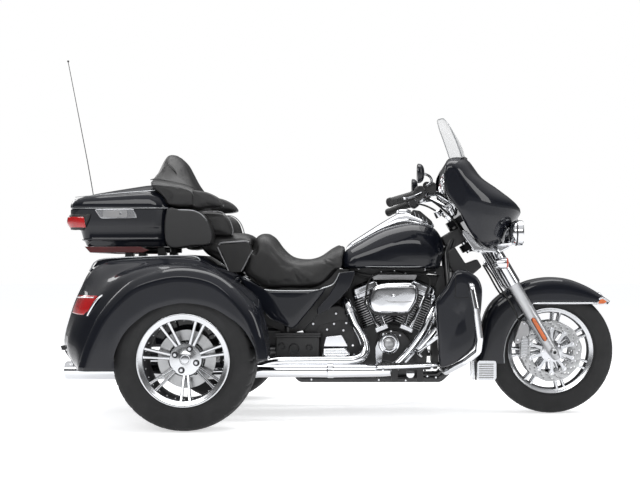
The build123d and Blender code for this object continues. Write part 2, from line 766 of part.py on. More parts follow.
# Fairing on the fork: outer shell, dash, windshield, lamps and turn signals.
fairing_outer = [
    (0, [(600, 1262), (672, 1262), (760, 1170), (860, 1100), (942, 1020), (918, 960), (872, 900),
         (852, 846), (760, 826), (640, 1010), (575, 1060), (565, 1180)]),
    (130, [(590, 1260), (665, 1258), (750, 1165), (850, 1092), (936, 1018), (914, 960), (868, 900),
           (848, 846), (755, 826), (630, 1010), (570, 1060), (560, 1180)]),
    (230, [(575, 1250), (655, 1250), (722, 1170), (800, 1110), (880, 1040), (872, 965), (840, 900),
           (820, 846), (736, 826), (618, 1012), (565, 1062), (553, 1180)]),
    (320, [(570, 1238), (630, 1236), (680, 1175), (735, 1120), (790, 1050), (785, 980), (762, 920),
           (745, 875), (690, 870), (605, 1015), (562, 1064), (548, 1180)]),
    (385, [(568, 1205), (598, 1203), (622, 1165), (645, 1125), (662, 1080), (660, 1040),
           (648, 1015), (638, 1000), (620, 1000), (590, 1030), (560, 1075), (550, 1165)]),
]


def shrunk(points, inward, back):
    """The same outline moved inward all round, and carried out past its own rear edge."""
    cx = sum(p[0] for p in points) / len(points)
    cz = sum(p[1] for p in points) / len(points)
    result = []
    for i, (x, z) in enumerate(points):
        far = sqrt((x - cx) ** 2 + (z - cz) ** 2)
        nx, nz = x + (cx - x) * inward / far, z + (cz - z) * inward / far
        if i in (0, 9, 10, 11):
            nx = x - back
        result.append((nx, nz))
    return result


outer_skin = skin(
    [(y, p) for y, p in reversed(fairing_outer)] + [(-y, p) for y, p in fairing_outer[1:]]
)
inner = [(y * 0.965, shrunk(p, 14, 40)) for y, p in fairing_outer]
inner_skin = skin([(y, p) for y, p in reversed(inner)] + [(-y, p) for y, p in inner[1:]])
pieces["fairing"] = outer_skin - inner_skin
dash_cut = slab(
    [(566, 1240), (640, 1240), (640, 1140), (668, 1060), (640, 1035), (575, 1064), (562, 1180)],
    372, -372,
)
pieces["dash"] = inner_skin & dash_cut
screen_stations = [
    (0, 672, 1264, 531, 1470), (100, 668, 1262, 527, 1466), (190, 648, 1260, 520, 1448),
    (260, 618, 1256, 512, 1400), (300, 592, 1252, 530, 1330),
]
screen = [
    (y, [(bx, bz), (tx, tz), (tx - 5, tz - 1), (bx - 6, bz - 1)])
    for y, bx, bz, tx, tz in screen_stations
]
pieces["windshield"] = skin(
    [(y, p) for y, p in reversed(screen)] + [(-y, p) for y, p in screen[1:]]
)
pieces["headlamp"] = Pos(905, 0, 930) * Rot(0, 90, 0) * Cylinder(88, 60)
passing = Pos(900, -222, 895) * Rot(0, 90, 0) * Cylinder(61, 64)
pieces["passing_lamps"] = both(passing)
signal = Pos(826, -222, 750) * Rot(0, 90, 0) * Cylinder(27, 74)
stalk = rod((812, -222, 776), (812, -222, 840), 8) + rod((700, -150, 812), (830, -222, 818), 9)
pieces["turn_signals"] = both(signal + stalk)
nacelle = slab([(652, 905), (700, 905), (745, 845), (745, 812), (705, 812)], -100, -165, 6)
pieces["nacelle"] = both(nacelle)

# Handlebar, grips, brake and clutch levers with their cylinders, mirrors.
bar_x, bar_z = along_fork(clamp_high_s + 50, stem_back - 20)
bar_side = [
    (bar_x, -90, bar_z), (600, -170, 1040), (520, -235, 1085), (420, -310, 1075),
    (300, -425, 1032),
]
bar_points = [(x, -y, z) for x, y, z in reversed(bar_side)] + bar_side
risers = both(fork_piece(Cylinder(17, 50), clamp_high_s + 25, stem_back - 20, -45))
pieces["handlebar"] = bar(bar_points, bar_r, 26) + risers
grip_start, grip_end = (400, -330, 1068), (296, -430, 1031)
pieces["grips"] = both(rod(grip_start, grip_end, grip_r))
control = Pos(425, -315, 1085) * Rot(0, -20, 42) * Box(58, 40, 52)
lever = rod((440, -330, 1075), (350, -440, 1045), 6)
pieces["controls"] = both(control + lever)
mirror_stem = bar(
    [(440, -320, 1110), (470, -350, 1150), (450, -400, 1165), (436, -410, 1165)], 6, 14
)
mirror_head = Pos(434, -410, 1165) * Rot(0, 90, 0) * extrude(
    RectangleRounded(92, 150, 36), amount=18, both=True
)
pieces["mirrors"] = both(mirror_stem + mirror_head)

# Where two pieces meet, the later one in the order is cut to seat on the earlier.
trim_order = [
    "frame_head", "frame_cradle_right", "frame_cradle_left", "crankcase", "gearbox",
    "cylinder_rear", "cylinder_front", "rocker_cover_rear", "rocker_cover_front", "cam_cover",
    "pushrod_tubes", "gearbox_covers", "primary_cover", "header_rear", "header_front",
    "crossover_pipe", "muffler_right", "muffler_left", "air_cleaner_cover", "air_cleaner_ring",
    "rear_axle", "rear_body", "fender_right", "fender_left", "tail_lamps", "bumper",
    "top_box", "box_rack", "box_latch", "box_lamps", "antenna", "tank_console", "fuel_tank",
    "lumbar_pad", "passenger_seat", "rider_seat",
    "side_cover_right", "side_cover_left", "frame_covers", "engine_guard",
    "lower_fairing_right", "lower_fairing_left", "floorboard_right", "floorboard_left",
    "brake_pedal", "gear_lever",
]
steered_order = [
    "front_axle", "fork_legs", "fork_clamps", "brake_calipers", "front_fender", "headlamp",
    "passing_lamps", "nacelle", "turn_signals", "windshield", "handlebar", "dash", "fairing",
    "grips", "controls", "mirrors",
]


def near(a, b):
    p, q = a.bounding_box(), b.bounding_box()
    return all(
        low <= high
        for low, high in (
            (p.min.X, q.max.X), (q.min.X, p.max.X), (p.min.Y, q.max.Y), (q.min.Y, p.max.Y),
            (p.min.Z, q.max.Z), (q.min.Z, p.max.Z),
        )
    )


lid_order = ["top_box_lid", "backrest", "armrest_right", "armrest_left"]
for order in (trim_order, steered_order, lid_order):
    for i, name in enumerate(order):
        for earlier in order[:i]:
            if near(pieces[name], pieces[earlier]):
                pieces[name] = pieces[name] - pieces[earlier]

# Like pieces that stand on one body and share a finish are one node.
joined = {
    "frame_cradle": ("frame_cradle_right", "frame_cradle_left"),
    "crankcase": ("crankcase", "gearbox"),
    "cylinders": ("cylinder_rear", "cylinder_front"),
    "rocker_covers": ("rocker_cover_rear", "rocker_cover_front"),
    "engine_covers": ("cam_cover", "gearbox_covers", "primary_cover"),
    "exhaust": ("header_rear", "header_front", "crossover_pipe", "muffler_right",
                "muffler_left"),
    "fenders": ("fender_right", "fender_left"),
    "armrests": ("armrest_right", "armrest_left"),
    "box_fittings": ("box_rack", "box_latch"),
    "side_covers": ("side_cover_right", "side_cover_left", "frame_covers"),
    "lower_fairings": ("lower_fairing_right", "lower_fairing_left"),
    "floorboards": ("floorboard_right", "floorboard_left"),
    "foot_controls": ("brake_pedal", "gear_lever"),
    "fork": ("fork_legs", "fork_clamps", "front_axle"),
    "lamp_bar": ("nacelle", "turn_signals"),
}
gone = {piece for names in joined.values() for piece in names}
nodes = {name: shape.solids() for name, shape in pieces.items() if name not in gone}
for name, names in joined.items():
    nodes[name] = [solid for piece in names for solid in pieces[piece].solids()]

os.makedirs("parts", exist_ok=True)
for name, solids in sorted(nodes.items()):
    shape = Compound(label=name, children=list(solids))
    export_step(shape, f"parts/{name}.step")
    size = shape.bounding_box()
    print(name, len(solids), [round(v) for v in (*size.min, *size.max)])
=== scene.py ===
"""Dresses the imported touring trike: bodywork, wheels, seats, engine detail, lamps and studio."""
import math
import random

import bpy
import bmesh
from mathutils import Matrix, Vector


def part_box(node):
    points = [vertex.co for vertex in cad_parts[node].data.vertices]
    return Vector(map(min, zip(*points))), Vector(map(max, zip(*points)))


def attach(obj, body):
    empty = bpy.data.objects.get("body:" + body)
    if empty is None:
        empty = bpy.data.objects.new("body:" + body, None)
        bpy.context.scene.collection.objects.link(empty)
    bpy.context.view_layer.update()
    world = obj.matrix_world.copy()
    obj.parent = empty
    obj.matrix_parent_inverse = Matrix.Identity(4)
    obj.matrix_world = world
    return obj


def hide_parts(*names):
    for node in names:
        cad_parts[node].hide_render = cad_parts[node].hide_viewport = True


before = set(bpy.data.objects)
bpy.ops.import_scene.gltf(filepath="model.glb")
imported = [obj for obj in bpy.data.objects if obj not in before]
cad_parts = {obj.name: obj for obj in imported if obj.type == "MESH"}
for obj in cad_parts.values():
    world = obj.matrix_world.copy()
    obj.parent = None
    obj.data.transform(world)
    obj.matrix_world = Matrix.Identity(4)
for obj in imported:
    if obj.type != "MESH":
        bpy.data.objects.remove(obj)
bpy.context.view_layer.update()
MM = 0.001

# Shared sizes, as in the part's source, in millimetres.
FRONT_AXLE = (1098.0, 0.0, 314.0)
REAR_X, REAR_Z, REAR_Y = -623.0, 318.0, 560.0
RAKE = math.radians(30.5)


def fork_point(s, back=0.0, y=0.0):
    """The point s up the fork's line from the axle and back behind it."""
    return Vector((
        FRONT_AXLE[0] - s * math.sin(RAKE) - back * math.cos(RAKE), y,
        FRONT_AXLE[2] + s * math.cos(RAKE) - back * math.sin(RAKE),
    ))


# Materials. Each has its own colour change and roughness change; most also have a bump.
def node(tree, kind, x=0, y=0, **values):
    made = tree.nodes.new(kind)
    made.location = (x, y)
    for key, value in values.items():
        if key in made.inputs:
            made.inputs[key].default_value = value
        else:
            setattr(made, key, value)
    return made


def material(name, colour, rough, metal=0.0, coat=0.0, vary=0.25, vary_scale=6.0,
             rough_vary=0.12, rough_scale=25.0, bump=0.0, bump_scale=300.0, cells=0.0,
             cell_scale=500.0, sheen=0.0, alpha=1.0, transmission=0.0, coat_rough=0.03,
             specular=0.5, glow=None, stretch=(1, 1, 1)):
    made = bpy.data.materials.new(name)
    made.use_nodes = True
    tree = made.node_tree
    shader = tree.nodes["Principled BSDF"]
    link = tree.links.new
    shader.inputs["Metallic"].default_value = metal
    shader.inputs["Coat Weight"].default_value = coat
    shader.inputs["Coat Roughness"].default_value = coat_rough
    shader.inputs["Sheen Weight"].default_value = sheen
    shader.inputs["Alpha"].default_value = alpha
    shader.inputs["Transmission Weight"].default_value = transmission
    shader.inputs["Specular IOR Level"].default_value = specular
    if glow:
        shader.inputs["Emission Color"].default_value = (*glow[0], 1)
        shader.inputs["Emission Strength"].default_value = glow[1]
    place = node(tree, "ShaderNodeTexCoord", -1200, 0)
    spread = node(tree, "ShaderNodeMapping", -1000, 0, Scale=stretch)
    link(place.outputs["Object"], spread.inputs["Vector"])
    cloud = node(tree, "ShaderNodeTexNoise", -800, 200, Scale=vary_scale, Detail=5.0)
    link(spread.outputs["Vector"], cloud.inputs["Vector"])
    ramp = node(tree, "ShaderNodeValToRGB", -550, 250)
    dark = [c * (1 - vary) for c in colour]
    light = [min(1.0, c * (1 + vary)) for c in colour]
    ramp.color_ramp.elements[0].color = (*dark, 1)
    ramp.color_ramp.elements[1].color = (*light, 1)
    ramp.color_ramp.elements[0].position, ramp.color_ramp.elements[1].position = 0.3, 0.7
    link(cloud.outputs["Fac"], ramp.inputs["Fac"])
    link(ramp.outputs["Color"], shader.inputs["Base Color"])
    smudge = node(tree, "ShaderNodeTexNoise", -800, -50, Scale=rough_scale, Detail=4.0)
    link(spread.outputs["Vector"], smudge.inputs["Vector"])
    span = node(tree, "ShaderNodeMapRange", -550, -50)
    span.inputs["To Min"].default_value = max(0.01, rough * (1 - rough_vary))
    span.inputs["To Max"].default_value = min(1.0, rough * (1 + rough_vary) + rough_vary * 0.05)
    link(smudge.outputs["Fac"], span.inputs["Value"])
    link(span.outputs["Result"], shader.inputs["Roughness"])
    if bump or cells:
        fine = node(tree, "ShaderNodeTexNoise", -800, -300, Scale=bump_scale, Detail=3.0)
        link(spread.outputs["Vector"], fine.inputs["Vector"])
        height = fine.outputs["Fac"]
        if cells:
            voronoi = node(tree, "ShaderNodeTexVoronoi", -800, -550, Scale=cell_scale)
            voronoi.feature = "F2"
            link(spread.outputs["Vector"], voronoi.inputs["Vector"])
            both_in = node(tree, "ShaderNodeMath", -550, -400, operation="MULTIPLY_ADD")
            link(voronoi.outputs["Distance"], both_in.inputs[0])
            both_in.inputs[1].default_value = cells
            link(fine.outputs["Fac"], both_in.inputs[2])
            height = both_in.outputs[0]
        lift = node(tree, "ShaderNodeBump", -300, -300, Strength=max(bump, 0.05))
        lift.inputs["Distance"].default_value = 0.001
        link(height, lift.inputs["Height"])
        link(lift.outputs["Normal"], shader.inputs["Normal"])
    return made


M = {
    "paint": material("black_paint", (0.0055, 0.0065, 0.0105), 0.4, coat=0.7, vary=0.18,
                      vary_scale=3.0, bump=0.012, bump_scale=700, coat_rough=0.04,
                      specular=0.06),
    # Light grey lines laid along edges and creases of the black paint: painted highlights.
    "painted_highlight": material("painted_highlight_line", (0.32, 0.33, 0.34), 0.3, metal=0.6, coat=0.6),
    "chrome": material("chrome", (0.66, 0.67, 0.69), 0.06, metal=1.0, vary=0.03,
                       rough_vary=0.4, rough_scale=14.0, bump=0.01, bump_scale=90),
    "chrome_soft": material("chrome_worn", (0.56, 0.57, 0.59), 0.18, metal=1.0, vary=0.06,
                            rough_vary=0.3, bump=0.02, bump_scale=200),
    "wheel": material("wheel_polish", (0.56, 0.57, 0.585), 0.2, metal=1.0, vary=0.06,
                      rough_vary=0.3, bump=0.03, bump_scale=420),
    "wheel_dark": material("wheel_inner", (0.018, 0.018, 0.02), 0.45, vary=0.2, bump=0.05),
    "slider": material("slider_satin", (0.46, 0.465, 0.475), 0.34, metal=0.75, vary=0.06,
                       rough_vary=0.2, bump=0.08, bump_scale=700),
    "amber_deep": material("amber_lens", (0.55, 0.05, 0.008), 0.15, coat=1.0, vary=0.15,
                           bump=0.3, bump_scale=300),
    "rotor": material("brake_disc", (0.42, 0.425, 0.43), 0.3, metal=1.0, vary=0.12,
                      vary_scale=30, rough_vary=0.35, rough_scale=60, bump=0.05,
                      bump_scale=600),
    "tyre": material("tyre_rubber", (0.013, 0.013, 0.0135), 0.62, vary=0.3, vary_scale=9,
                     rough_vary=0.2, bump=0.25, bump_scale=900, specular=0.35),
    "rubber": material("grip_rubber", (0.014, 0.014, 0.014), 0.6, bump=0.2, bump_scale=1200),
    "frame": material("frame_enamel", (0.009, 0.009, 0.010), 0.3, coat=0.4, bump=0.03,
                      bump_scale=400),
    "engine": material("engine_black", (0.012, 0.012, 0.013), 0.42, coat=0.15, vary=0.3,
                       bump=0.25, bump_scale=1400, rough_vary=0.2),
    "fins": material("fin_edge", (0.52, 0.52, 0.53), 0.3, metal=0.7, vary=0.15, bump=0.05),
    "cast": material("cast_aluminium", (0.36, 0.36, 0.365), 0.34, metal=1.0, vary=0.1,
                     bump=0.12, bump_scale=800),
    "plastic": material("black_plastic", (0.013, 0.013, 0.0135), 0.5, vary=0.15, bump=0.12,
                        bump_scale=1500, cells=0.4, cell_scale=900),
    "vinyl": material("seat_vinyl", (0.0125, 0.0122, 0.0122), 0.43, vary=0.22, vary_scale=14,
                      rough_vary=0.25, bump=0.35, bump_scale=260, cells=1.6, cell_scale=420,
                      specular=0.42),
    "piping": material("seat_piping", (0.22, 0.22, 0.225), 0.4, bump=0.1, bump_scale=900),
    # A lighter grey for the bolster's edge line: a painted highlight.
    "painted_bolster_highlight": material("painted_bolster_highlight", (0.075, 0.075, 0.077), 0.42, bump=0.2, bump_scale=600),
    "plastic_smooth": material("smooth_plastic", (0.017, 0.017, 0.0175), 0.4, vary=0.12,
                               bump=0.06, bump_scale=900, cells=0.2, cell_scale=900),
    "stitch": material("seat_stitch", (0.03, 0.03, 0.03), 0.7, bump=0.3, bump_scale=900),
    "red": material("red_lens", (0.50, 0.006, 0.008), 0.14, coat=1.0, vary=0.2, bump=0.25,
                    bump_scale=160, specular=0.6),
    "red_dark": material("red_reflector", (0.09, 0.004, 0.005), 0.2, coat=0.8, vary=0.25,
                         bump=0.3, bump_scale=260),
    "amber": material("amber_reflector", (0.62, 0.13, 0.02), 0.3, coat=0.6, vary=0.12,
                      bump=0.4, bump_scale=340, cells=0.8, cell_scale=300),
    "lens": material("clear_lens", (0.80, 0.82, 0.84), 0.08, coat=1.0, alpha=0.35,
                     vary=0.03),
    "reflector": material("lamp_bowl", (0.82, 0.83, 0.84), 0.12, metal=1.0, vary=0.04),
    "screen": material("windshield_clear", (0.60, 0.63, 0.65), 0.12, coat=0.4, alpha=0.22,
                       vary=0.03),
    "screen_edge": material("windshield_edge", (0.20, 0.21, 0.22), 0.2, coat=1.0, alpha=0.75,
                            vary=0.05),
    "dial": material("dial_face", (0.62, 0.62, 0.60), 0.4, vary=0.05),
    "dark": material("matt_black", (0.006, 0.006, 0.006), 0.8, vary=0.3, bump=0.1),
    "glass_dark": material("display_glass", (0.01, 0.012, 0.016), 0.1, coat=1.0, vary=0.1),
}


# Mesh helpers. Points are in millimetres in the shared frame.
def mesh(name, points, faces, mat, body, sharp=35.0, bevel=0.0, levels=0, thick=0.0,
         mirror=False, slot=None, replaces=(), segments=2, offset=-1.0, bevel_angle=30.0,
         mats=None, face_mats=None):
    points = [Vector(p) * MM for p in points]
    faces = [tuple(f) for f in faces]
    marks = list(face_mats) if face_mats else None
    if mirror:
        n = len(points)
        points += [Vector((p.x, -p.y, p.z)) for p in points]
        faces += [tuple(i + n for i in reversed(f)) for f in faces]
        if marks:
            marks += marks
    data = bpy.data.meshes.new(name)
    data.from_pydata([tuple(p) for p in points], [], faces)
    for m in ([mat] if mats is None else mats):
        data.materials.append(M[m])
    if marks:
        for polygon, index in zip(data.polygons, marks):
            polygon.material_index = index
    work = bmesh.new()
    work.from_mesh(data)
    bmesh.ops.recalc_face_normals(work, faces=work.faces[:])
    work.to_mesh(data)
    work.free()
    data.polygons.foreach_set("use_smooth", [True] * len(data.polygons))
    made = bpy.data.objects.new(name, data)
    bpy.context.scene.collection.objects.link(made)
    if thick:
        solid = made.modifiers.new("thickness", "SOLIDIFY")
        solid.thickness, solid.offset = thick * MM, offset
    if bevel:
        edge = made.modifiers.new("edges", "BEVEL")
        edge.width, edge.segments = bevel * MM, segments
        edge.limit_method, edge.angle_limit = "ANGLE", math.radians(bevel_angle)
    if levels:
        fine = made.modifiers.new("smooth", "SUBSURF")
        fine.levels = fine.render_levels = levels
    elif sharp < 179:
        data.set_sharp_from_angle(angle=math.radians(sharp))
    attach(made, body)
    if replaces:
        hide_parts(*replaces)
    return made


def spline(points, n, closed=False):
    """n points along a smooth Catmull-Rom curve through the points, evenly by length."""
    pts = [Vector(p) if len(p) == 3 else Vector((*p, 0)) for p in points]
    count = len(pts)
    spans = count if closed else count - 1
    fine = []
    for i in range(spans):
        if closed:
            a, b, c, d = (pts[(i + k) % count] for k in (-1, 0, 1, 2))
        else:
            b, c = pts[i], pts[i + 1]
            a = pts[i - 1] if i else b * 2 - c
            d = pts[i + 2] if i + 2 < count else c * 2 - b
        for k in range(12):
            t = k / 12
            fine.append(0.5 * (
                2 * b + (c - a) * t + (2 * a - 5 * b + 4 * c - d) * t * t
                + (3 * b - a - 3 * c + d) * t ** 3
            ))
    fine.append(pts[0] if closed else pts[-1])
    steps = [0.0]
    for p, q in zip(fine, fine[1:]):
        steps.append(steps[-1] + (q - p).length)
    total, found, at = steps[-1], [], 0
    for k in range(n):
        want = total * k / (n if closed else n - 1)
        while at < len(fine) - 2 and steps[at + 1] < want:
            at += 1
        step = steps[at + 1] - steps[at]
        t = (want - steps[at]) / step if step > 1e-9 else 0
        found.append(fine[at].lerp(fine[at + 1], min(1, t)))
    if len(points[0]) == 2:
        return [(p.x, p.y) for p in found]
    return found


def along(table, x):
    """Smooth value from (key, value) rows."""
    if x <= table[0][0]:
        return table[0][1]
    for (x0, v0), (x1, v1) in zip(table, table[1:]):
        if x <= x1:
            t = (x - x0) / (x1 - x0)
            return v0 + (v1 - v0) * t
    return table[-1][1]


def rows_mesh(name, rows, mat, body, closed=True, caps=True, **options):
    """Quads between rows of points. Each row is one ring, or one open line."""
    n = len(rows[0])
    points = [p for row in rows for p in row]
    faces = []
    for i in range(len(rows) - 1):
        for j in range(n if closed else n - 1):
            a, b = i * n + j, i * n + (j + 1) % n
            faces.append((a, b, b + n, a + n))
    if closed and caps:
        faces.append(tuple(range(n)))
        faces.append(tuple(reversed(range((len(rows) - 1) * n, len(rows) * n))))
    return mesh(name, points, faces, mat, body, **options)


def lathe(name, profile, origin, mat, body, axis="Y", segs=64, closed_profile=False, **options):
    """Turns (radius, along) points about an axis through origin."""
    o = Vector(origin)
    axes = {"X": (Vector((0, 1, 0)), Vector((0, 0, 1)), Vector((1, 0, 0))),
            "Y": (Vector((1, 0, 0)), Vector((0, 0, 1)), Vector((0, 1, 0))),
            "Z": (Vector((1, 0, 0)), Vector((0, 1, 0)), Vector((0, 0, 1)))}
    if isinstance(axis, str):
        u, v, w = axes[axis]
    else:
        w = Vector(axis).normalized()
        u = w.orthogonal().normalized()
        v = w.cross(u)
    points, faces = [], []
    m = len(profile)
    for k in range(segs):
        a = 2 * math.pi * k / segs
        way = u * math.cos(a) + v * math.sin(a)
        points += [o + way * r + w * t for r, t in profile]
    last = m if closed_profile else m - 1
    for k in range(segs):
        for j in range(last):
            a, b = k * m + j, k * m + (j + 1) % m
            c, d = ((k + 1) % segs) * m + (j + 1) % m, ((k + 1) % segs) * m + j
            faces.append((a, b, c, d))
    if not closed_profile:
        for j in (0, m - 1):
            if profile[j][0] > 1e-6:
                faces.append(tuple(k * m + j for k in range(segs)))
    merged = mesh(name, points, faces, mat, body, **options)
    return merged


def tube(name, points, r, mat, body, n=12, samples=0, radii=None, caps=True, **options):
    path = spline(points, samples) if samples else [Vector(p) for p in points]
    rows = []
    way = (path[1] - path[0]).normalized()
    side = way.orthogonal().normalized()
    for i, p in enumerate(path):
        a = path[max(0, i - 1)]
        b = path[min(len(path) - 1, i + 1)]
        new = (b - a).normalized()
        side = (side - new * side.dot(new)).normalized()
        up = new.cross(side)
        rr = r if radii is None else radii[i] if len(radii) == len(path) else along(
            radii, i / (len(path) - 1))
        rows.append([
            p + (side * math.cos(2 * math.pi * k / n) + up * math.sin(2 * math.pi * k / n)) * rr
            for k in range(n)
        ])
    return rows_mesh(name, rows, mat, body, caps=caps, sharp=options.pop("sharp", 50.0),
                     **options)


def plate(name, outline, y0, y1, mat, body, **options):
    """A side outline in X and Z between two Y planes, with bevelled edges."""
    n = len(outline)
    points = [(x, y0, z) for x, z in outline] + [(x, y1, z) for x, z in outline]
    faces = [tuple(range(n)), tuple(reversed(range(n, 2 * n)))]
    faces += [(i, (i + 1) % n, n + (i + 1) % n, n + i) for i in range(n)]
    return mesh(name, points, faces, mat, body, **options)


def block(name, centre, size, mat, body, turn=(0, 0, 0), **options):
    """A box with turned and bevelled edges."""
    from_turn = Matrix.Rotation(math.radians(turn[2]), 3, "Z") @ Matrix.Rotation(
        math.radians(turn[1]), 3, "Y") @ Matrix.Rotation(math.radians(turn[0]), 3, "X")
    c = Vector(centre)
    points = [
        c + from_turn @ Vector((sx * size[0] / 2, sy * size[1] / 2, sz * size[2] / 2))
        for sx in (-1, 1) for sy in (-1, 1) for sz in (-1, 1)
    ]
    faces = [(0, 1, 3, 2), (4, 6, 7, 5), (0, 4, 5, 1), (2, 3, 7, 6), (0, 2, 6, 4), (1, 5, 7, 3)]
    options.setdefault("bevel", min(size) * 0.18)
    options.setdefault("segments", 3)
    return mesh(name, points, faces, mat, body, **options)


def round_points(outline, r, steps=4):
    """The outline with each corner rounded to about r."""
    result = []
    n = len(outline)
    for i in range(n):
        a, b, c = (Vector((*outline[(i + k) % n], 0)) for k in (-1, 0, 1))
        u, v = (a - b), (c - b)
        cut = min(r, u.length * 0.45, v.length * 0.45)
        p, q = b + u.normalized() * cut, b + v.normalized() * cut
        for k in range(steps + 1):
            t = k / steps
            w = p * (1 - t) ** 2 + b * 2 * t * (1 - t) + q * t * t
            result.append((w.x, w.y))
    return result


def bolts(name, places, axis, r, h, mat, body, sides=6, **options):
    """Many bolt heads in one piece. Each place is the head's base."""
    w = Vector(axis).normalized()
    u = w.orthogonal().normalized()
    v = w.cross(u)
    points, faces = [], []
    for place in places:
        base = len(points)
        o = Vector(place)
        for ring, (rr, t) in enumerate(((r, 0), (r, h * 0.7), (r * 0.78, h))):
            for k in range(sides):
                a = 2 * math.pi * k / sides
                points.append(o + (u * math.cos(a) + v * math.sin(a)) * rr + w * t)
        for ring in range(2):
            for k in range(sides):
                a, b = base + ring * sides + k, base + ring * sides + (k + 1) % sides
                faces.append((a, b, b + sides, a + sides))
        faces.append(tuple(base + 2 * sides + k for k in range(sides)))
        faces.append(tuple(base + k for k in reversed(range(sides))))
    return mesh(name, points, faces, mat, body, **options)


# CAD nodes that keep their own shape get the finish of the real piece.
KEPT = {
    "front_tyre": "tyre", "rear_tyre_right": "tyre", "rear_tyre_left": "tyre",
    "front_rim": "wheel", "rear_rim_right": "wheel", "rear_rim_left": "wheel",
    "frame_head": "frame", "frame_cradle": "frame", "rear_axle": "frame",
    "crankcase": "engine", "cylinders": "engine", "rocker_covers": "chrome",
    "engine_covers": "chrome", "pushrod_tubes": "chrome", "air_cleaner_ring": "plastic",
    "air_cleaner_cover": "chrome", "exhaust": "chrome", "fuel_tank": "paint",
    "tank_console": "chrome", "rider_seat": "vinyl", "passenger_seat": "vinyl",
    "backrest": "vinyl", "armrests": "vinyl", "lumbar_pad": "vinyl", "rear_body": "paint", "trunk_door": "paint",
    "fenders": "paint", "bumper": "plastic", "tail_lamps": "red", "top_box": "paint",
    "top_box_lid": "paint", "box_fittings": "chrome", "box_lamps": "red",
    "antenna": "plastic", "side_covers": "paint", "lower_fairings": "paint",
    "engine_guard": "chrome", "floorboards": "plastic", "foot_controls": "chrome",
    "fork": "chrome", "front_fender": "paint", "brake_calipers": "frame",
    "fairing": "paint", "dash": "plastic", "windshield": "screen", "headlamp": "lens",
    "passing_lamps": "chrome", "lamp_bar": "chrome", "handlebar": "chrome",
    "grips": "rubber", "controls": "plastic", "mirrors": "paint",
}
for name, key in KEPT.items():
    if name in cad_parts:
        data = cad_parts[name].data
        data.materials.clear()
        data.materials.append(M[key])
        data.polygons.foreach_set("use_smooth", [True] * len(data.polygons))
        data.set_sharp_from_angle(angle=math.radians(28))

def curve_at(points, t, closed=False):
    """Smooth place at t steps along the points."""
    n = len(points)
    i = min(int(t), n - 1 if closed else n - 2)
    f = t - i
    b, c = points[i], points[(i + 1) % n]
    if closed:
        a, d = points[i - 1], points[(i + 2) % n]
    else:
        a = points[i - 1] if i else b * 2 - c
        d = points[i + 2] if i + 2 < n else c * 2 - b
    return 0.5 * (2 * b + (c - a) * f + (2 * a - 5 * b + 4 * c - d) * f * f
                  + (3 * b - a - 3 * c + d) * f ** 3)


def surface(name, rows, mat, body, du=4, dv=4, closed=False, caps=False, **options):
    """A smooth skin through rows that all have the same number of points."""
    rows = [[Vector(p) for p in row] for row in rows]
    n = len(rows[0])
    spans = n if closed else n - 1
    lines = [[curve_at(row, k / dv, closed) for k in range(spans * dv + (0 if closed else 1))]
             for row in rows]
    grid = []
    for k in range((len(rows) - 1) * du + 1):
        grid.append([curve_at([line[j] for line in lines], k / du)
                     for j in range(len(lines[0]))])
    return rows_mesh(name, grid, mat, body, closed=closed, caps=caps, **options)


# Wheels. Tyres have cut tread and ribs on the sidewalls.
def tyre_piece(name, centre, r, half, lip, tread, body, replaced, width_turns=150):
    sides = [
        (lip - 8, half * 0.70), (lip - 2, half * 0.78), (lip + 4, half * 0.85),
        (lip + 10, half * 0.90), (lip + 13, half * 0.885), (lip + 16, half * 0.925),
        (lip + 26, half * 0.965), (lip + 38, half * 0.99), (lip + 50, half * 1.0),
        (lip + 53, half * 0.985), (lip + 56, half * 0.995),
    ]
    sides = [(min(rr, r - 30), y) for rr, y in sides if rr < r - 34]
    crown = [(r - 28, half * 0.975), (r - 20, half * 0.945), (r - 13, half * 0.89),
             (r - 8, half * 0.80), (r - 4.5, half * 0.66), (r - 2, half * 0.48),
             (r - 0.6, half * 0.26), (r, 0.0)]
    cross = spline([(rr, y) for rr, y in sides + crown], 30)
    fine = [(rr, y) for rr, y in cross] + [(rr, -y) for rr, y in reversed(cross[:-1])]
    segs = width_turns * 2
    points, faces = [], []
    m = len(fine)
    for k in range(segs):
        turn = k / segs
        a = 2 * math.pi * turn
        for rr, y in fine:
            depth = tread(turn, y / half) if rr > r - 24 else 0.0
            points.append((centre[0] + (rr - depth) * math.cos(a), centre[1] + y,
                           centre[2] + (rr - depth) * math.sin(a)))
    for k in range(segs):
        for j in range(m - 1):
            a, b = k * m + j, k * m + j + 1
            c, d = ((k + 1) % segs) * m + j + 1, ((k + 1) % segs) * m + j
            faces.append((a, b, c, d))
    made = mesh(name, points, faces, "tyre", body, sharp=38, slot="tyre_rubber",
                replaces=[replaced])
    return made


def front_tread(turn, side):
    step = turn * 30 + abs(side) * 0.9 + (0.5 if side > 0 else 0)
    cut = abs((step % 1) - 0.5) < 0.085 and 0.18 < abs(side) < 0.93
    return 4.5 if cut or abs(side) < 0.045 else 0.0


def rear_tread(turn, side):
    ring = any(abs(abs(side) - at) < 0.035 for at in (0.16, 0.52))
    step = turn * 34 + abs(side) * 0.6 + (0.5 if side > 0 else 0)
    cut = abs((step % 1) - 0.5) < 0.07 and 0.56 < abs(side) < 0.96
    fine = abs((step * 2 % 1) - 0.5) < 0.09 and 0.2 < abs(side) < 0.42
    return 5.0 if ring or cut else 3.0 if fine else 0.0


tyre_piece("front_tyre_tread", FRONT_AXLE, 314, 65, 220.7, front_tread, "front_wheel",
           "front_tyre")
for side, word in ((-1, "right"), (1, "left")):
    tyre_piece("rear_tyre_tread_" + word, (REAR_X, side * REAR_Y, REAR_Z), 318, 102, 206.5,
               rear_tread, "rear_wheel_" + word, "rear_tyre_" + word)


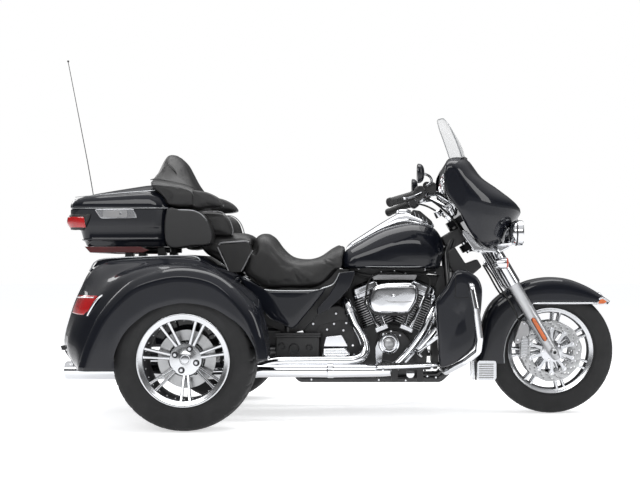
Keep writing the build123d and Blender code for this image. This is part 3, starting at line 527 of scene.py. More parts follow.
def wheel_piece(name, centre, out, lip, seat, half, hub_r, hub_depth, angles, body,
                spoke_wide=15.0, gap=13.0, bulge=0.0):
    """A cast wheel seen from its outer side: rim and double spokes."""
    x0, y0, z0 = centre
    face = y0 + out * half
    rim_profile = [
        (lip - 1, face - out * 3), (lip, face - out * 1), (lip - 2, face),
        (lip - 9, face - out * 1.5), (lip - 14, face - out * 5), (seat - 8, face - out * 9),
        (seat - 10, face - out * 15),
    ]
    lathe(name + "_lip", [(r, y - y0) for r, y in rim_profile] +
          [(seat - 4, face - y0 - out * 17), (seat, face - y0 - out * 12)],
          centre, "wheel", body, closed_profile=True, segs=96, sharp=50, slot="wheel_metal")
    points, faces = [], []
    deep = hub_depth

    def add_spoke(angle, shift, lean):
        base = len(points)
        out_r, in_r = seat - 5, hub_r - 8
        for t in (0.0, 0.12, 0.3, 0.5, 0.7, 0.88, 1.0):
            r = in_r + (out_r - in_r) * t
            across = shift * (0.62 + 0.38 * t) + lean * t
            wide = spoke_wide * (1.12 - 0.22 * math.sin(math.pi * t)) / 2
            down = deep + (13 - deep) * t - bulge * math.sin(math.pi * t)
            front = face - out * down
            thick = 22 - 6 * t
            c, s = math.cos(angle), math.sin(angle)
            for w, f in ((-wide, front - out * 5), (-wide * 0.62, front), (wide * 0.62, front),
                         (wide, front - out * 5), (wide * 0.8, front - out * thick),
                         (-wide * 0.8, front - out * thick)):
                points.append((x0 + r * c - (across + w) * s, f, z0 + r * s + (across + w) * c))
        for i in range(6):
            for j in range(6):
                a, b = base + i * 6 + j, base + i * 6 + (j + 1) % 6
                faces.append((a, b, b + 6, a + 6))
        faces.append(tuple(base + j for j in range(6)))
        faces.append(tuple(base + 36 + j for j in reversed(range(6))))

    for angle in angles:
        for sign in (-1, 1):
            add_spoke(math.radians(angle), sign * (spoke_wide + gap) / 2, sign * 6.0)
    mesh(name + "_spokes", points, faces, "wheel", body, sharp=28, bevel=1.6,
         slot="wheel_metal")
    return face


def ring_ticks(name, centre, out, r, y, count, size, mat, body):
    points, faces = [], []
    for k in range(count):
        a = 2 * math.pi * k / count
        c, s = math.cos(a), math.sin(a)
        base = len(points)
        for dy in (0, size[1]):
            for dr in (0, -size[2]):
                for dw in (-size[0] / 2, size[0] / 2):
                    points.append((centre[0] + (r + dr) * c - dw * s, y + out * dy,
                                   centre[2] + (r + dr) * s + dw * c))
        faces += [tuple(base + i for i in f) for f in
                  ((0, 1, 3, 2), (4, 6, 7, 5), (0, 4, 5, 1), (2, 3, 7, 6), (0, 2, 6, 4),
                   (1, 5, 7, 3))]
    return mesh(name, points, faces, mat, body, slot="wheel_metal")


PAIR = 360 / 7
for side, word in ((-1, "right"), (1, "left")):
    body = "rear_wheel_" + word
    at = (REAR_X, side * REAR_Y, REAR_Z)
    face = wheel_piece("rear_wheel_" + word, at, side, 206.5, 190, 88, 77, 58,
                       [118 - PAIR * k for k in range(7)], body)
    barrel = lathe("rear_barrel_" + word,
                   [(182, side * 74), (178, side * 66), (176, -side * 30), (182, -side * 86),
                    (192, -side * 88), (204, -side * 88), (204, -side * 80), (190, -side * 70),
                    (187, 0), (190, side * 70)],
                   at, "wheel_dark", body, closed_profile=True, segs=72, sharp=40,
                   replaces=["rear_rim_" + word], slot="black_trim")
    ring_ticks("rear_barrel_ticks_" + word, at, side, 176, side * REAR_Y + side * 44, 28,
               (3.5, 14, 3), "wheel", body)
    hub = at[1] + side * 30
    lathe("rear_hub_" + word,
          [(0, side * 31), (30, side * 31), (33, side * 29), (60, side * 28.5),
           (72, side * 27), (77, side * 21), (78, side * 8), (66, side * 4), (66, -side * 60),
           (0, -side * 60)],
          at, "wheel", body, segs=56, sharp=35, slot="wheel_metal")
    lathe("rear_cap_" + word,
          [(0, side * 40), (12, side * 40), (17, side * 39), (19, side * 36.5),
           (22, side * 36.5), (25, side * 34.5), (26, side * 30)],
          at, "chrome_soft", body, segs=40, sharp=25, slot="wheel_metal")
    lugs = [(at[0] + 51 * math.cos(math.radians(a)), hub - side * 1,
             at[2] + 51 * math.sin(math.radians(a))) for a in (68, 156, -17, -110)]
    for i, lug in enumerate(lugs):
        lathe("rear_lug_seat_%s_%d" % (word, i),
              [(0, side * 0.5), (10.5, side * 0.5), (13.5, side * 2.2), (15, 0),
               (15, -side * 3)], lug, "wheel_dark", body, segs=24, slot="wheel_metal")
    bolts("rear_lugs_" + word, lugs, (0, side, 0), 9.5, 9, "chrome_soft", body,
          slot="wheel_metal")
    holes = 24
    lathe("rear_disc_" + word,
          [(84, -side * 6), (131, -side * 6), (131, -side * 12), (84, -side * 12)],
          at, "rotor", body, closed_profile=True, segs=72, slot="wheel_metal")

# The front wheel, with a drilled disc on each side.
for side, word in ((-1, "right"), (1, "left")):
    wheel_piece("front_wheel_" + word, FRONT_AXLE, side, 220.7, 203, 43, 52, 8,
                [80 - PAIR * k for k in range(7)], "front_wheel", spoke_wide=13, gap=12)
lathe("front_barrel",
      [(196, 30), (190, 20), (188, 0), (190, -20), (196, -30), (203, -30), (196, -12),
       (194, 0), (196, 12), (203, 30)],
      FRONT_AXLE, "wheel_dark", "front_wheel", closed_profile=True, segs=72, sharp=40,
      replaces=["front_rim"], slot="black_trim")
lathe("front_hub", [(0, 84), (16, 84), (16, 70), (40, 66), (46, 60), (44, 40), (52, 34),
                    (56, 0), (52, -34), (44, -40), (46, -60), (40, -66), (16, -70),
                    (16, -84), (0, -84)],
      FRONT_AXLE, "wheel", "front_wheel", segs=48, sharp=35, slot="wheel_metal")


def drilled_disc(name, centre, y, r_in, r_out, thick, body, mat="rotor", holes=10):
    """A flat ring with rows of round holes right through it."""
    work = bmesh.new()
    segs = 120
    rings = 9
    grid = []
    for i in range(rings + 1):
        r = r_in + (r_out - r_in) * i / rings
        wave = [r if 0 < i < rings else r + (1.6 * math.sin(10 * 2 * math.pi * k / segs))
                for k in range(segs)]
        grid.append([work.verts.new((centre[0] + wave[k] * math.cos(2 * math.pi * k / segs), y,
                                     centre[2] + wave[k] * math.sin(2 * math.pi * k / segs)))
                     for k in range(segs)])
    for i in range(rings):
        for k in range(segs):
            drilled = i in (2, 4, 6) and (k + i * 2) % 6 == 0
            if not drilled:
                work.faces.new((grid[i][k], grid[i][(k + 1) % segs],
                                grid[i + 1][(k + 1) % segs], grid[i + 1][k]))
    points = [tuple(v.co) for v in work.verts]
    work.verts.index_update()
    faces = [tuple(v.index for v in f.verts) for f in work.faces]
    work.free()
    return mesh(name, points, faces, mat, body, thick=thick, offset=0.0, sharp=40,
                slot="wheel_metal")


for side, word in ((-1, "right"), (1, "left")):
    y = side * 74
    drilled_disc("front_disc_" + word, FRONT_AXLE, y, 105, 150, 5, "front_wheel")
    arms, faces = [], []
    for k in range(10):
        a = 2 * math.pi * (k + 0.5) / 10
        c, s = math.cos(a), math.sin(a)
        base = len(arms)
        for r, w in ((36, 11), (66, 7.5), (92, 7), (106, 12), (118, 10)):
            for dy in (-3.5, 3.5):
                for dw in (-w, w):
                    arms.append((FRONT_AXLE[0] + r * c - dw * s, y + side * 1 + dy,
                                 FRONT_AXLE[2] + r * s + dw * c))
        for i in range(4):
            o = base + i * 4
            faces += [(o, o + 1, o + 5, o + 4), (o + 2, o + 6, o + 7, o + 3),
                      (o, o + 4, o + 6, o + 2), (o + 1, o + 3, o + 7, o + 5)]
        faces += [(base, base + 2, base + 3, base + 1),
                  (base + 16, base + 17, base + 19, base + 18)]
    mesh("front_disc_carrier_" + word, arms, faces, "chrome_soft", "front_wheel", bevel=1.2,
         slot="wheel_metal")
    lathe("front_disc_centre_" + word,
          [(18, side * 82), (34, side * 81), (48, side * 79), (56, side * 77),
           (56, side * 70), (18, side * 70)], FRONT_AXLE, "chrome_soft", "front_wheel",
          closed_profile=True, segs=48, sharp=30, slot="wheel_metal")
    bolts("front_disc_bolts_" + word,
          [(FRONT_AXLE[0] + r * math.cos(2 * math.pi * (k + 0.5) / n), y + side * d,
            FRONT_AXLE[2] + r * math.sin(2 * math.pi * (k + 0.5) / n))
           for r, n, d in ((112, 10, 4), (44, 5, 5)) for k in range(n)],
          (0, side, 0), 6.5, 5, "chrome", "front_wheel", sides=8, slot="wheel_metal")

# Kept CAD pieces get softened edges; their own vertices stay as they are.
SOFT_EDGES = {
    "rear_body": 7, "trunk_door": 3, "side_covers": 3, "lower_fairings": 6, "dash": 5,
    "crankcase": 4, "engine_covers": 5, "box_fittings": 1.5, "floorboards": 2, "bumper": 2,
    "tail_lamps": 3, "rocker_covers": 3, "brake_calipers": 4, "fork": 1.5, "lamp_bar": 2,
    "controls": 5, "mirrors": 4, "top_box": 3, "pushrod_tubes": 1, "cylinders": 0.6,
}
for name, width in SOFT_EDGES.items():
    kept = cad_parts[name]
    weld = kept.modifiers.new("weld", "WELD")
    weld.merge_threshold = 0.00002
    edge = kept.modifiers.new("edges", "BEVEL")
    edge.width, edge.segments = width * MM, 3
    edge.limit_method, edge.angle_limit = "ANGLE", math.radians(32)
    edge.use_clamp_overlap = True

# Rear fenders: the crown, a rolled edge, the flat side and the arch cut into it.
FENDER_BASE = [(-1150, 262), (-1205, 372), (-1180, 500), (-1135, 620), (-1060, 738), (-900, 768),
               (-620, 768), (-480, 700), (-330, 600), (-290, 500), (-270, 420), (-262, 321)]
FENDER_MID = [(-1110, 265), (-1150, 372), (-1110, 500), (-1040, 610), (-950, 690), (-780, 738),
              (-590, 740), (-440, 670), (-320, 565), (-283, 470), (-262, 385), (-255, 321)]
FENDER_CROWN = [(-1081, 275), (-1046, 390), (-982, 525), (-880, 640), (-790, 691), (-643, 723),
                (-502, 704), (-406, 646), (-316, 544), (-278, 461), (-259, 378), (-252, 321)]
ARCH_CENTRE, ARCH_R = (-606, 243), 338


def inward(points, step):
    """The outline drawn in towards the wheel by that many millimetres."""
    result = []
    for x, z in points:
        far = math.hypot(x - REAR_X, z - REAR_Z)
        drop = 0 if z < 330 else step
        result.append((x + (REAR_X - x) * step / far, z + (REAR_Z - z) * drop / far))
    return result


def arch_point(x, z):
    """Where the arch is cut, straight in from an outline point."""
    a = math.atan2(z - ARCH_CENTRE[1], x - ARCH_CENTRE[0])
    ax, az = ARCH_CENTRE[0] + ARCH_R * math.cos(a), ARCH_CENTRE[1] + ARCH_R * math.sin(a)
    if az < 352 or z < 400:
        return (-920 if x < REAR_X else -287), max(min(z, 352), 275 if x < REAR_X else 321)
    return ax, az


def fender_rows():
    lip = inward(FENDER_CROWN, 34)
    arch = [arch_point(x, z) for x, z in lip]
    half_way = [((a[0] * 0.55 + b[0] * 0.45), (a[1] * 0.55 + b[1] * 0.45))
                for a, b in zip(lip, arch)]
    between = [((a[0] + b[0]) / 2, (a[1] + b[1]) / 2 + 6) for a, b in zip(FENDER_MID, FENDER_CROWN)]
    return [
        (-440, FENDER_BASE), (-500, [((a[0] + b[0]) / 2, (a[1] + b[1]) / 2 + 4)
                                     for a, b in zip(FENDER_BASE, FENDER_MID)]),
        (-560, FENDER_MID), (-615, between), (-652, inward(FENDER_CROWN, -1)),
        (-664, FENDER_CROWN), (-678, inward(FENDER_CROWN, 10)), (-690, inward(FENDER_CROWN, 28)),
        (-694.5, inward(FENDER_CROWN, 40)), (-694.5, half_way), (-693, arch),
        (-686, arch), (-680, inward(arch, -1)),
    ]


rows = [[(x, y, z) for x, z in points] for y, points in fender_rows()]
surface("rear_fender_skins", rows, "paint", "chassis", du=4, dv=6, mirror=True, sharp=60,
        thick=4, offset=1.0, slot="black_paint", replaces=["fenders"])
inner_rows = [[(x, y, z) for x, z in inward(points, 14)] for y, points in
              [(-446, FENDER_BASE), (-560, FENDER_MID), (-652, FENDER_CROWN),
               (-680, inward(FENDER_CROWN, 20))]]
surface("rear_fender_liners", inner_rows, "plastic", "chassis", du=2, dv=3, mirror=True,
        slot="black_trim")
for side, word in ((-1, "right"), (1, "left")):
    y = side * 695
    outline = round_points([(-675, 611), (-579, 611), (-579, 643), (-675, 643)], 14, 5)
    plate("side_marker_" + word, outline, y + side * 0, y - side * 9, "red", "chassis",
          bevel=4, segments=3, sharp=60, slot="red_lens")
    rim_line = round_points([(-679, 607), (-575, 607), (-575, 647), (-679, 647)], 17, 5)
    plate("side_marker_base_" + word, rim_line, y - side * 3, y - side * 9, "red_dark",
          "chassis", bevel=1.5, slot="red_lens")
# Tail lamps wrap the corner, with a bright slash in front.
for side, word in ((-1, "right"), (1, "left")):
    lamp = [[(-1130, 470, 602), (-1095, 530, 604), (-1060, 575, 604), (-1008, 610, 604)],
            [(-1136, 470, 588), (-1102, 530, 590), (-1068, 578, 590), (-1015, 612, 590)],
            [(-1152, 470, 550), (-1120, 530, 550), (-1082, 582, 550), (-1030, 615, 550)],
            [(-1160, 470, 522), (-1128, 530, 520), (-1090, 580, 518), (-1046, 608, 517)]]
    lamp = [[(x - 4, side * y, z) for x, y, z in row] for row in lamp]
    surface("tail_lamp_" + word, lamp, "red", "chassis", du=4, dv=5, thick=22,
            offset=-1.0 if side < 0 else 1.0, sharp=60, bevel=1.5, slot="red_lens",
            replaces=["tail_lamps"] if side < 0 else ())
    tube("tail_lamp_bar_" + word,
         [(-1138, side * 478, 594), (-1104, side * 536, 596), (-1070, side * 582, 596),
          (-1024, side * 616, 596)], 2.4, "reflector", "chassis", samples=20, n=8,
         slot="chrome")
    tube("tail_lamp_slash_" + word,
         [(-1052, side * 616, 516), (-1032, side * 622, 550), (-1008, side * 624, 585),
          (-984, side * 622, 606)], 5.5, "chrome", "chassis", samples=24, n=10,
         radii=[(0, 6.5), (0.6, 7), (1, 3.5)], slot="chrome")
# Painted highlight lines, light grey, along the body's top edges, and the bumper's lip.
for side in (-1, 1):
    word = "right" if side < 0 else "left"
    tube("body_edge_highlight_" + word,
         [(-1092, side * 442, 712), (-1052, side * 444, 762), (-918, side * 444, 775),
          (-625, side * 444, 781), (-572, side * 444, 743)], 3.0, "painted_highlight", "chassis",
         samples=40, n=8, slot="black_paint")
tube("bumper_lip", [(-1228, -420, 362), (-1232, -200, 362), (-1232, 200, 362),
                    (-1228, 420, 362)], 5, "plastic", "chassis", samples=20, n=10,
     slot="black_trim")


# Top box. Rings of points with rounded corners, at each level.
def box_ring(z, rear, front, half, corner, rise=0.0, n=9, corner_front=None):
    """A rounded oblong ring; rise lifts its front end above its rear."""
    cf = corner if corner_front is None else corner_front
    ring = []
    for cx, cy, start, r in ((rear + corner, -half + corner, 180, corner),
                             (front - cf, -half + cf, 270, cf),
                             (front - cf, half - cf, 0, cf),
                             (rear + corner, half - corner, 90, corner)):
        for k in range(n):
            a = math.radians(start + 90 * k / (n - 1))
            ring.append((cx + r * math.cos(a), cy + r * math.sin(a)))
    return [(x, y, z + rise * (x - rear) / (front - rear)) for x, y in ring]


def rings(name, levels, mat, body, **options):
    return rows_mesh(name, [box_ring(*level) for level in levels], mat, body, **options)


rings("top_box_shell", [
    (831, -1160, -780, 250, 50), (830, -1166, -775, 258, 55), (836, -1172, -772, 262, 58),
    (850, -1177, -770, 265, 60), (856, -1182, -769, 268, 62), (860, -1190, -768, 274, 64),
    (864, -1190, -767, 275, 64), (868, -1186, -767, 273, 64), (905, -1196, -764, 277, 68),
    (918, -1214, -763, 280, 72), (924, -1234, -762, 283, 76), (930, -1238, -762, 284, 78),
    (962, -1246, -760, 287, 80), (1000, -1246, -758, 289.5, 80), (1006, -1245, -757, 290, 80),
    (1008, -1242, -760, 287, 78), (1008, -1235, -767, 280, 74), (1004, -1232, -770, 278, 72),
    (960, -1232, -772, 274, 72), (905, -1186, -776, 266, 62), (845, -1160, -784, 252, 54),
    (838, -1152, -790, 246, 50),
], "paint", "chassis", sharp=40, slot="black_paint", replaces=["top_box"])
rings("top_box_lid_skin", [
    (1013, -1238, -764, 282, 74), (1013, -1244, -758, 289, 80), (1017, -1247, -757, 290, 81),
    (1030, -1246, -762, 289.5, 82), (1048, -1238, -772, 286, 82, 14),
    (1056, -1231, -790, 278, 84, 26), (1060, -1222, -803, 266, 86, 34),
    (1068, -1205, -815, 246, 92, 42), (1080, -1172, -830, 206, 96, 46),
    (1094, -1120, -850, 150, 96, 42), (1106, -1070, -866, 90, 80, 36),
    (1112, -1040, -880, 40, 36, 30), (1114, -1020, -900, 12, 11, 26),
], "paint", "top_box_lid", sharp=34, slot="black_paint", replaces=["top_box_lid"])
rings("top_box_lid_liner", [
    (1014, -1236, -768, 279, 72), (1044, -1226, -788, 275, 72), (1056, -1206, -812, 250, 80, 20),
    (1070, -1160, -836, 196, 86, 34), (1086, -1090, -866, 110, 76, 30),
], "plastic", "top_box_lid", slot="black_trim")
rings("top_box_seal", [
    (1008.5, -1240, -762, 285, 77), (1011.5, -1240, -762, 285, 77),
    (1011.5, -1234, -768, 279, 72), (1008.5, -1234, -768, 279, 72),
], "dark", "chassis", slot="black_trim")
# Painted highlights: light lines along the lid's side creases and along its split line.
tube("lid_crease_highlight_right", [(-1214, -252, 1066), (-1116, -268, 1074), (-967, -270, 1087),
                          (-830, -262, 1098)], 1.6, "painted_highlight", "top_box_lid", samples=30,
     n=6, slot="black_paint")
tube("lid_crease_highlight_left", [(-1214, 252, 1066), (-1116, 268, 1074), (-967, 270, 1087),
                         (-830, 262, 1098)], 1.6, "painted_highlight", "top_box_lid", samples=30,
     n=6, slot="black_paint")
tube("lid_split_highlight", [(-1225, -266, 1011), (-1165, -290.5, 1011), (-1000, -291, 1011),
                        (-800, -291, 1012), (-762, -280, 1012)], 1.4, "painted_highlight",
     "top_box_lid", samples=30, n=6, slot="black_paint")
# Latch plate with its recess, handle and lock, on the right.
latch = round_points([(-1112, 1006), (-925, 1008), (-908, 962), (-1080, 962)], 10, 4)
plate("latch_plate", latch, -299, -289, "chrome_soft", "chassis", bevel=3, slot="chrome",
      replaces=["box_fittings"])
plate("latch_recess", round_points([(-1070, 999), (-955, 1000), (-955, 968), (-1070, 968)], 5, 3),
      -299.6, -296, "cast", "chassis", bevel=1.2, slot="chrome")
plate("latch_handle", round_points([(-1066, 995), (-968, 996), (-968, 972), (-1066, 972)], 4, 3),
      -299.5, -290, "chrome", "chassis", bevel=2.2, slot="chrome")
lathe("latch_lock", [(0, -299.8), (6, -299.8), (8, -298), (8, -292)], (-986, 0, 984), "chrome",
      "chassis", segs=20, slot="chrome")
for y in (-140, 140):
    tube("box_rail_%d" % (y > 0), [(-1120, y, 816), (-780, y, 816)], 12, "frame", "chassis",
         slot="chrome")
    for x0 in (-980, -820):
        block("box_post_%d_%d" % (y > 0, x0 > -900), (x0, y, 801), (40, 40, 56), "frame",
              "chassis", bevel=4, slot="chrome")
# Lamps at the box's rear corners, in a dark bezel, and the strip below them.
for side, word in ((-1, "right"), (1, "left")):
    bezel = [[(-1247, 150, 980), (-1249, 200, 980), (-1238, 255, 981), (-1205, 284, 982),
              (-1130, 291, 984)],
             [(-1249, 150, 960), (-1251, 200, 960), (-1242, 260, 960), (-1208, 288, 960),
              (-1136, 293, 960)],
             [(-1238, 150, 912), (-1240, 205, 911), (-1230, 262, 910), (-1200, 288, 908),
              (-1160, 291, 906)]]
    surface("box_lamp_bezel_" + word, [[(x, side * y, z) for x, y, z in row] for row in bezel],
            "plastic", "chassis", du=3, dv=4, thick=4, offset=0, sharp=50, slot="black_trim")
    lens = [[(-1250, 175, 971), (-1251, 215, 971), (-1244, 262, 970), (-1208, 291, 970),
             (-1160, 296, 969)],
            [(-1252, 175, 945), (-1254, 215, 945), (-1246, 264, 944), (-1206, 292, 943),
             (-1156, 297, 942)],
            [(-1242, 175, 922), (-1244, 215, 922), (-1234, 264, 921), (-1198, 290, 920),
             (-1152, 295, 919)]]
    surface("box_lamp_" + word, [[(x, side * y, z) for x, y, z in row] for row in lens],
            "red", "chassis", du=4, dv=4, thick=6, offset=0, bevel=1.5, sharp=60,
            slot="red_lens", replaces=["box_lamps"] if side < 0 else ())
    plate("box_under_strip_" + word,
          [(-1168, 829), (-900, 829), (-860, 812), (-890, 800), (-1140, 800)],
          side * 262, side * 246, "red_dark", "chassis", bevel=2, slot="red_lens")
plate("box_under_strip_rear", [(-1172, 829), (-1160, 829), (-1134, 800), (-1146, 800)], -246,
      246, "red_dark", "chassis", bevel=2, slot="red_lens")
# Antenna: a base, a flexible foot and a thin mast with a bead.
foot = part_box("antenna")[0]
mast = [(-1249, 265, 985), (-1262, 265, 1052), (-1300, 265, 1270), (-1350, 265, 1530),
        (-1406, 265, 1818)]
tube("antenna_mast", mast, 2.2, "plastic", "chassis", samples=30, n=8,
     radii=[(0, 6.5), (0.03, 6.5), (0.09, 4), (0.1, 2.4), (1, 1.8)], slot="black_trim",
     replaces=["antenna"])
lathe("antenna_bead", [(0, -6), (3.6, -4.8), (6, 0), (3.6, 4.8), (0, 6)], (-1406, 265, 1821),
      "plastic", "chassis", axis="Z", segs=16, sharp=80, slot="black_trim")
block("antenna_foot", (-1236, 262, 978), (52, 24, 14), "plastic", "chassis", bevel=4,
      slot="black_trim")

def side_rows(table, both_sides=True):
    """Rows of (x, y, z) from (y, side outline) rows, given for one side from the middle out."""
    right = [[(x, -y, z) for x, z in points] for y, points in table]
    if not both_sides:
        return right
    left = [[(x, y, z) for x, z in points] for y, points in table if y > 0]
    return list(reversed(right)) + left


def closed_side_skin(name, table, mat, body, du=4, dv=4, **options):
    """A skin wrapped round side outlines across the whole width, with its ends closed."""
    return surface(name, side_rows(table), mat, body, du=du, dv=dv, closed=True, caps=True,
                   **options)


# Fuel tank: crowned sides, a flat seam lip along the bottom.
closed_side_skin("tank_shell", [
    (0, [(45, 742), (60, 790), (92, 828), (160, 868), (242, 908), (320, 932), (400, 946),
         (470, 940), (520, 918), (554, 870), (566, 815), (552, 765), (530, 726), (420, 722),
         (200, 722), (64, 722)]),
    (62, [(45, 742), (60, 790), (92, 827), (160, 867), (242, 911), (320, 936), (400, 950),
          (470, 943), (520, 920), (554, 870), (566, 815), (552, 765), (530, 722), (420, 722),
          (200, 722), (64, 722)]),
    (98, [(52, 742), (66, 788), (95, 822), (160, 858), (245, 900), (322, 925), (402, 938),
          (468, 931), (515, 908), (548, 862), (560, 812), (547, 765), (526, 724), (420, 724),
          (200, 724), (70, 724)]),
    (128, [(66, 744), (80, 782), (106, 810), (168, 838), (250, 873), (326, 897), (402, 908),
           (462, 900), (503, 880), (532, 842), (543, 802), (532, 764), (514, 728), (420, 727),
           (200, 727), (86, 727)]),
    (148, [(90, 747), (102, 772), (128, 792), (180, 812), (256, 838), (330, 858), (400, 866),
           (450, 860), (486, 844), (510, 818), (520, 790), (510, 762), (494, 735), (420, 732),
           (200, 732), (108, 732)]),
    (154.5, [(118, 750), (130, 764), (152, 776), (196, 788), (262, 806), (330, 820), (396, 826),
             (438, 822), (468, 812), (486, 796), (494, 778), (486, 760), (474, 744), (410, 740),
             (210, 740), (134, 740)]),
], "paint", "chassis", du=4, dv=4, sharp=50, slot="black_paint", replaces=["fuel_tank"])
# A light line along each side's seam lip: a painted highlight.
tube("tank_seam_highlight_right", [(72, -112, 736), (110, -140, 738), (200, -150, 734),
                         (420, -150, 733), (508, -138, 742), (545, -100, 756)], 2.2,
     "painted_highlight", "chassis", samples=40, n=6, slot="black_paint", mirror=True)
closed_side_skin("console_shell", [
    (0, [(88, 845), (150, 888), (250, 952), (320, 992), (345, 1002), (405, 1002), (508, 955),
         (503, 924), (400, 946), (250, 914), (94, 826)]),
    (40, [(89, 843), (150, 885), (250, 948), (320, 987), (345, 996), (404, 996), (505, 950),
          (502, 924), (400, 946), (250, 914), (94, 826)]),
    (58, [(92, 838), (150, 876), (250, 936), (320, 968), (346, 974), (400, 975), (500, 940),
          (498, 922), (400, 942), (250, 910), (96, 826)]),
    (62, [(96, 832), (150, 866), (250, 924), (320, 950), (348, 956), (398, 958), (494, 930),
          (494, 920), (400, 940), (250, 908), (98, 826)]),
], "chrome", "chassis", du=3, dv=4, sharp=50, slot="chrome", replaces=["tank_console"])
tube("console_trim_right", [(90, -60, 834), (150, -63, 868), (250, -64, 924), (345, -64, 958),
                            (400, -63.5, 957), (496, -62, 927)], 2.4, "chrome", "chassis",
     samples=30, n=8, slot="chrome", mirror=True)
lathe("filler_cap", [(0, 17), (24, 16), (34, 12), (38, 6), (39, 0), (42, -4), (42, -10)],
      (366, 0, 1006), "chrome", "chassis", axis="Z", segs=36, bevel=0.8, slot="chrome")

# Side covers, with a soft swell; the light line along the top edge is a painted highlight.
COVER_OUT = [(-430, 678), (-402, 676), (-360, 648), (-318, 622), (-200, 617), (-79, 617),
             (-30, 628), (-22, 618), (-60, 566), (-110, 506), (-175, 436), (-230, 458),
             (-287, 483), (-350, 560), (-405, 630)]


def swell(points, share, centre=(-215, 565)):
    return [(centre[0] + (x - centre[0]) * share, centre[1] + (z - centre[1]) * share)
            for x, z in points]


cover_rows = [[(x, y, z) for x, z in swell(COVER_OUT, share)] for y, share in
              ((-150, 0.97), (-196, 1.0), (-205, 0.985), (-211, 0.94), (-214, 0.80),
               (-215, 0.45), (-215, 0.1))]
surface("side_cover_skins", cover_rows, "paint", "chassis", du=3, dv=4, closed=True, caps=True,
        mirror=True, sharp=60, slot="black_paint", replaces=["side_covers"])
frame_cover = round_points([(49, 705), (127, 713), (104, 638), (52, 578), (-7, 524), (-58, 498),
                            (-60, 530), (-5, 590), (30, 645)], 12, 4)
for side, word in ((-1, "right"), (1, "left")):
    plate("frame_cover_" + word, frame_cover, side * 196, side * 120, "paint", "chassis",
          bevel=6, segments=4, sharp=60, slot="black_paint")
    tube("cover_highlight_line_" + word, [(-425, side * 199, 680), (-400, side * 203, 677),
                                (-318, side * 206, 622), (-79, side * 206, 618),
                                (-30, side * 203, 630), (20, side * 199, 650),
                                (50, side * 197, 704)], 2.2, "painted_highlight", "chassis",
         samples=60, n=6, slot="black_paint")

# Lower fairings: a deep rounded leg guard with a bright rolled lip.
LOWER = [(594, 707), (623, 720), (656, 711), (698, 686), (719, 648), (723, 600), (714, 500),
         (694, 373), (668, 335), (640, 311), (590, 279), (534, 262), (521, 290), (518, 350),
         (515, 410), (512, 460), (510, 505), (509, 540), (511, 572), (530, 606), (562, 648)]
lower_rows = [[(x, y, z) for x, z in swell(LOWER, share, (625, 500))] for y, share in
              ((-282, 0.94), (-300, 0.985), (-330, 1.0), (-370, 1.0), (-388, 0.985),
               (-397, 0.93), (-399.5, 0.82), (-399.5, 0.6), (-398, 0.3), (-396, 0.12))]
surface("lower_fairing_skins", lower_rows, "paint", "chassis", du=4, dv=4, closed=True,
        caps=True, mirror=True, sharp=60, slot="black_paint", replaces=["lower_fairings"])

# Front fender: a deep domed mudguard, open below, with flat cheeks at the sides.
FENDER_TOP = [(727, 252), (733, 300), (744, 360), (764, 452), (786, 514), (825, 566),
              (885, 611), (944, 640), (1002, 662), (1087, 675), (1180, 667), (1272, 633),
              (1350, 587), (1385, 560)]
CHEEK_LOW = [(858, 253), (858, 280), (860, 310), (873, 382), (893, 425), (918, 466),
             (960, 508), (1005, 545), (1040, 549), (1100, 550), (1170, 550), (1250, 550),
             (1330, 551), (1376, 552)]


def fender_line(y, drop, share):
    """A line from tail to tip: the top line drawn in, then part way down to the cheek edge."""
    points = []
    for (x0, z0), (x1, z1) in zip(FENDER_TOP, CHEEK_LOW):
        far = math.hypot(x0 - 1098, z0 - 314)
        xa, za = x0 + (1098 - x0) * drop / far, z0 + (314 - z0) * drop / far
        points.append((xa + (x1 - xa) * share, y, za + (z1 - za) * share))
    return points


front_rows = [fender_line(-y, drop, share) for y, drop, share in
              ((80, 0, 1.0), (83.5, 0, 0.92), (84, 0, 0.55), (83, 0, 0.36), (80, 0, 0.22),
               (74, 0, 0.12), (62, 1, 0.045), (44, 0.4, 0), (22, -0.8, 0), (0, -1.2, 0))]
front_rows += [[(x, -y, z) for x, y, z in row] for row in reversed(front_rows[:-1])]
surface("front_fender_skin", front_rows, "paint", "steering", du=4, dv=6, sharp=60, thick=5,
        offset=1.0, bevel=1.2, bevel_angle=60, slot="black_paint", replaces=["front_fender"])
for side, word in ((-1, "right"), (1, "left")):
    strip = [(1003, side * 86.5, 551), (1100, side * 87, 552), (1210, side * 87, 552),
             (1320, side * 86, 553)]
    tube("fender_strip_" + word, strip, 4.5, "chrome", "steering", samples=14, n=10,
         radii=[(0, 2), (0.06, 5), (0.94, 5), (1, 4)], slot="chrome")
    # A light line along each cheek's rear edge: a painted highlight.
    tube("fender_edge_highlight_" + word,
         [(862, side * 85, 255), (861, side * 85.5, 310), (876, side * 85.5, 384),
          (919, side * 85.5, 465), (962, side * 85.5, 506), (1004, side * 86, 547)], 3,
         "painted_highlight", "steering", samples=40, n=8, slot="black_paint")
lathe("fender_lamp_bezel", [(0, 16), (20, 15), (25, 10), (27, 0), (25, -8), (18, -12)],
      (1352, 0, 578), "chrome", "steering", axis=(0.83, 0, 0.56), segs=32, slot="chrome")
for side, word in ((-1, "right"), (1, "left")):
    lamp_line = round_points([(1316, 545), (1358, 545), (1383, 560), (1352, 583), (1330, 575)],
                             6, 4)
    plate("fender_lamp_frame_" + word, lamp_line, side * 89, side * 70, "chrome", "steering",
          bevel=3, segments=3, slot="chrome")
    glass = round_points([(1326, 550), (1354, 550), (1370, 560), (1350, 574), (1334, 569)], 5, 3)
    plate("fender_lamp_glass_" + word, glass, side * 91, side * 84, "amber", "steering",
          bevel=2, slot="red_lens")
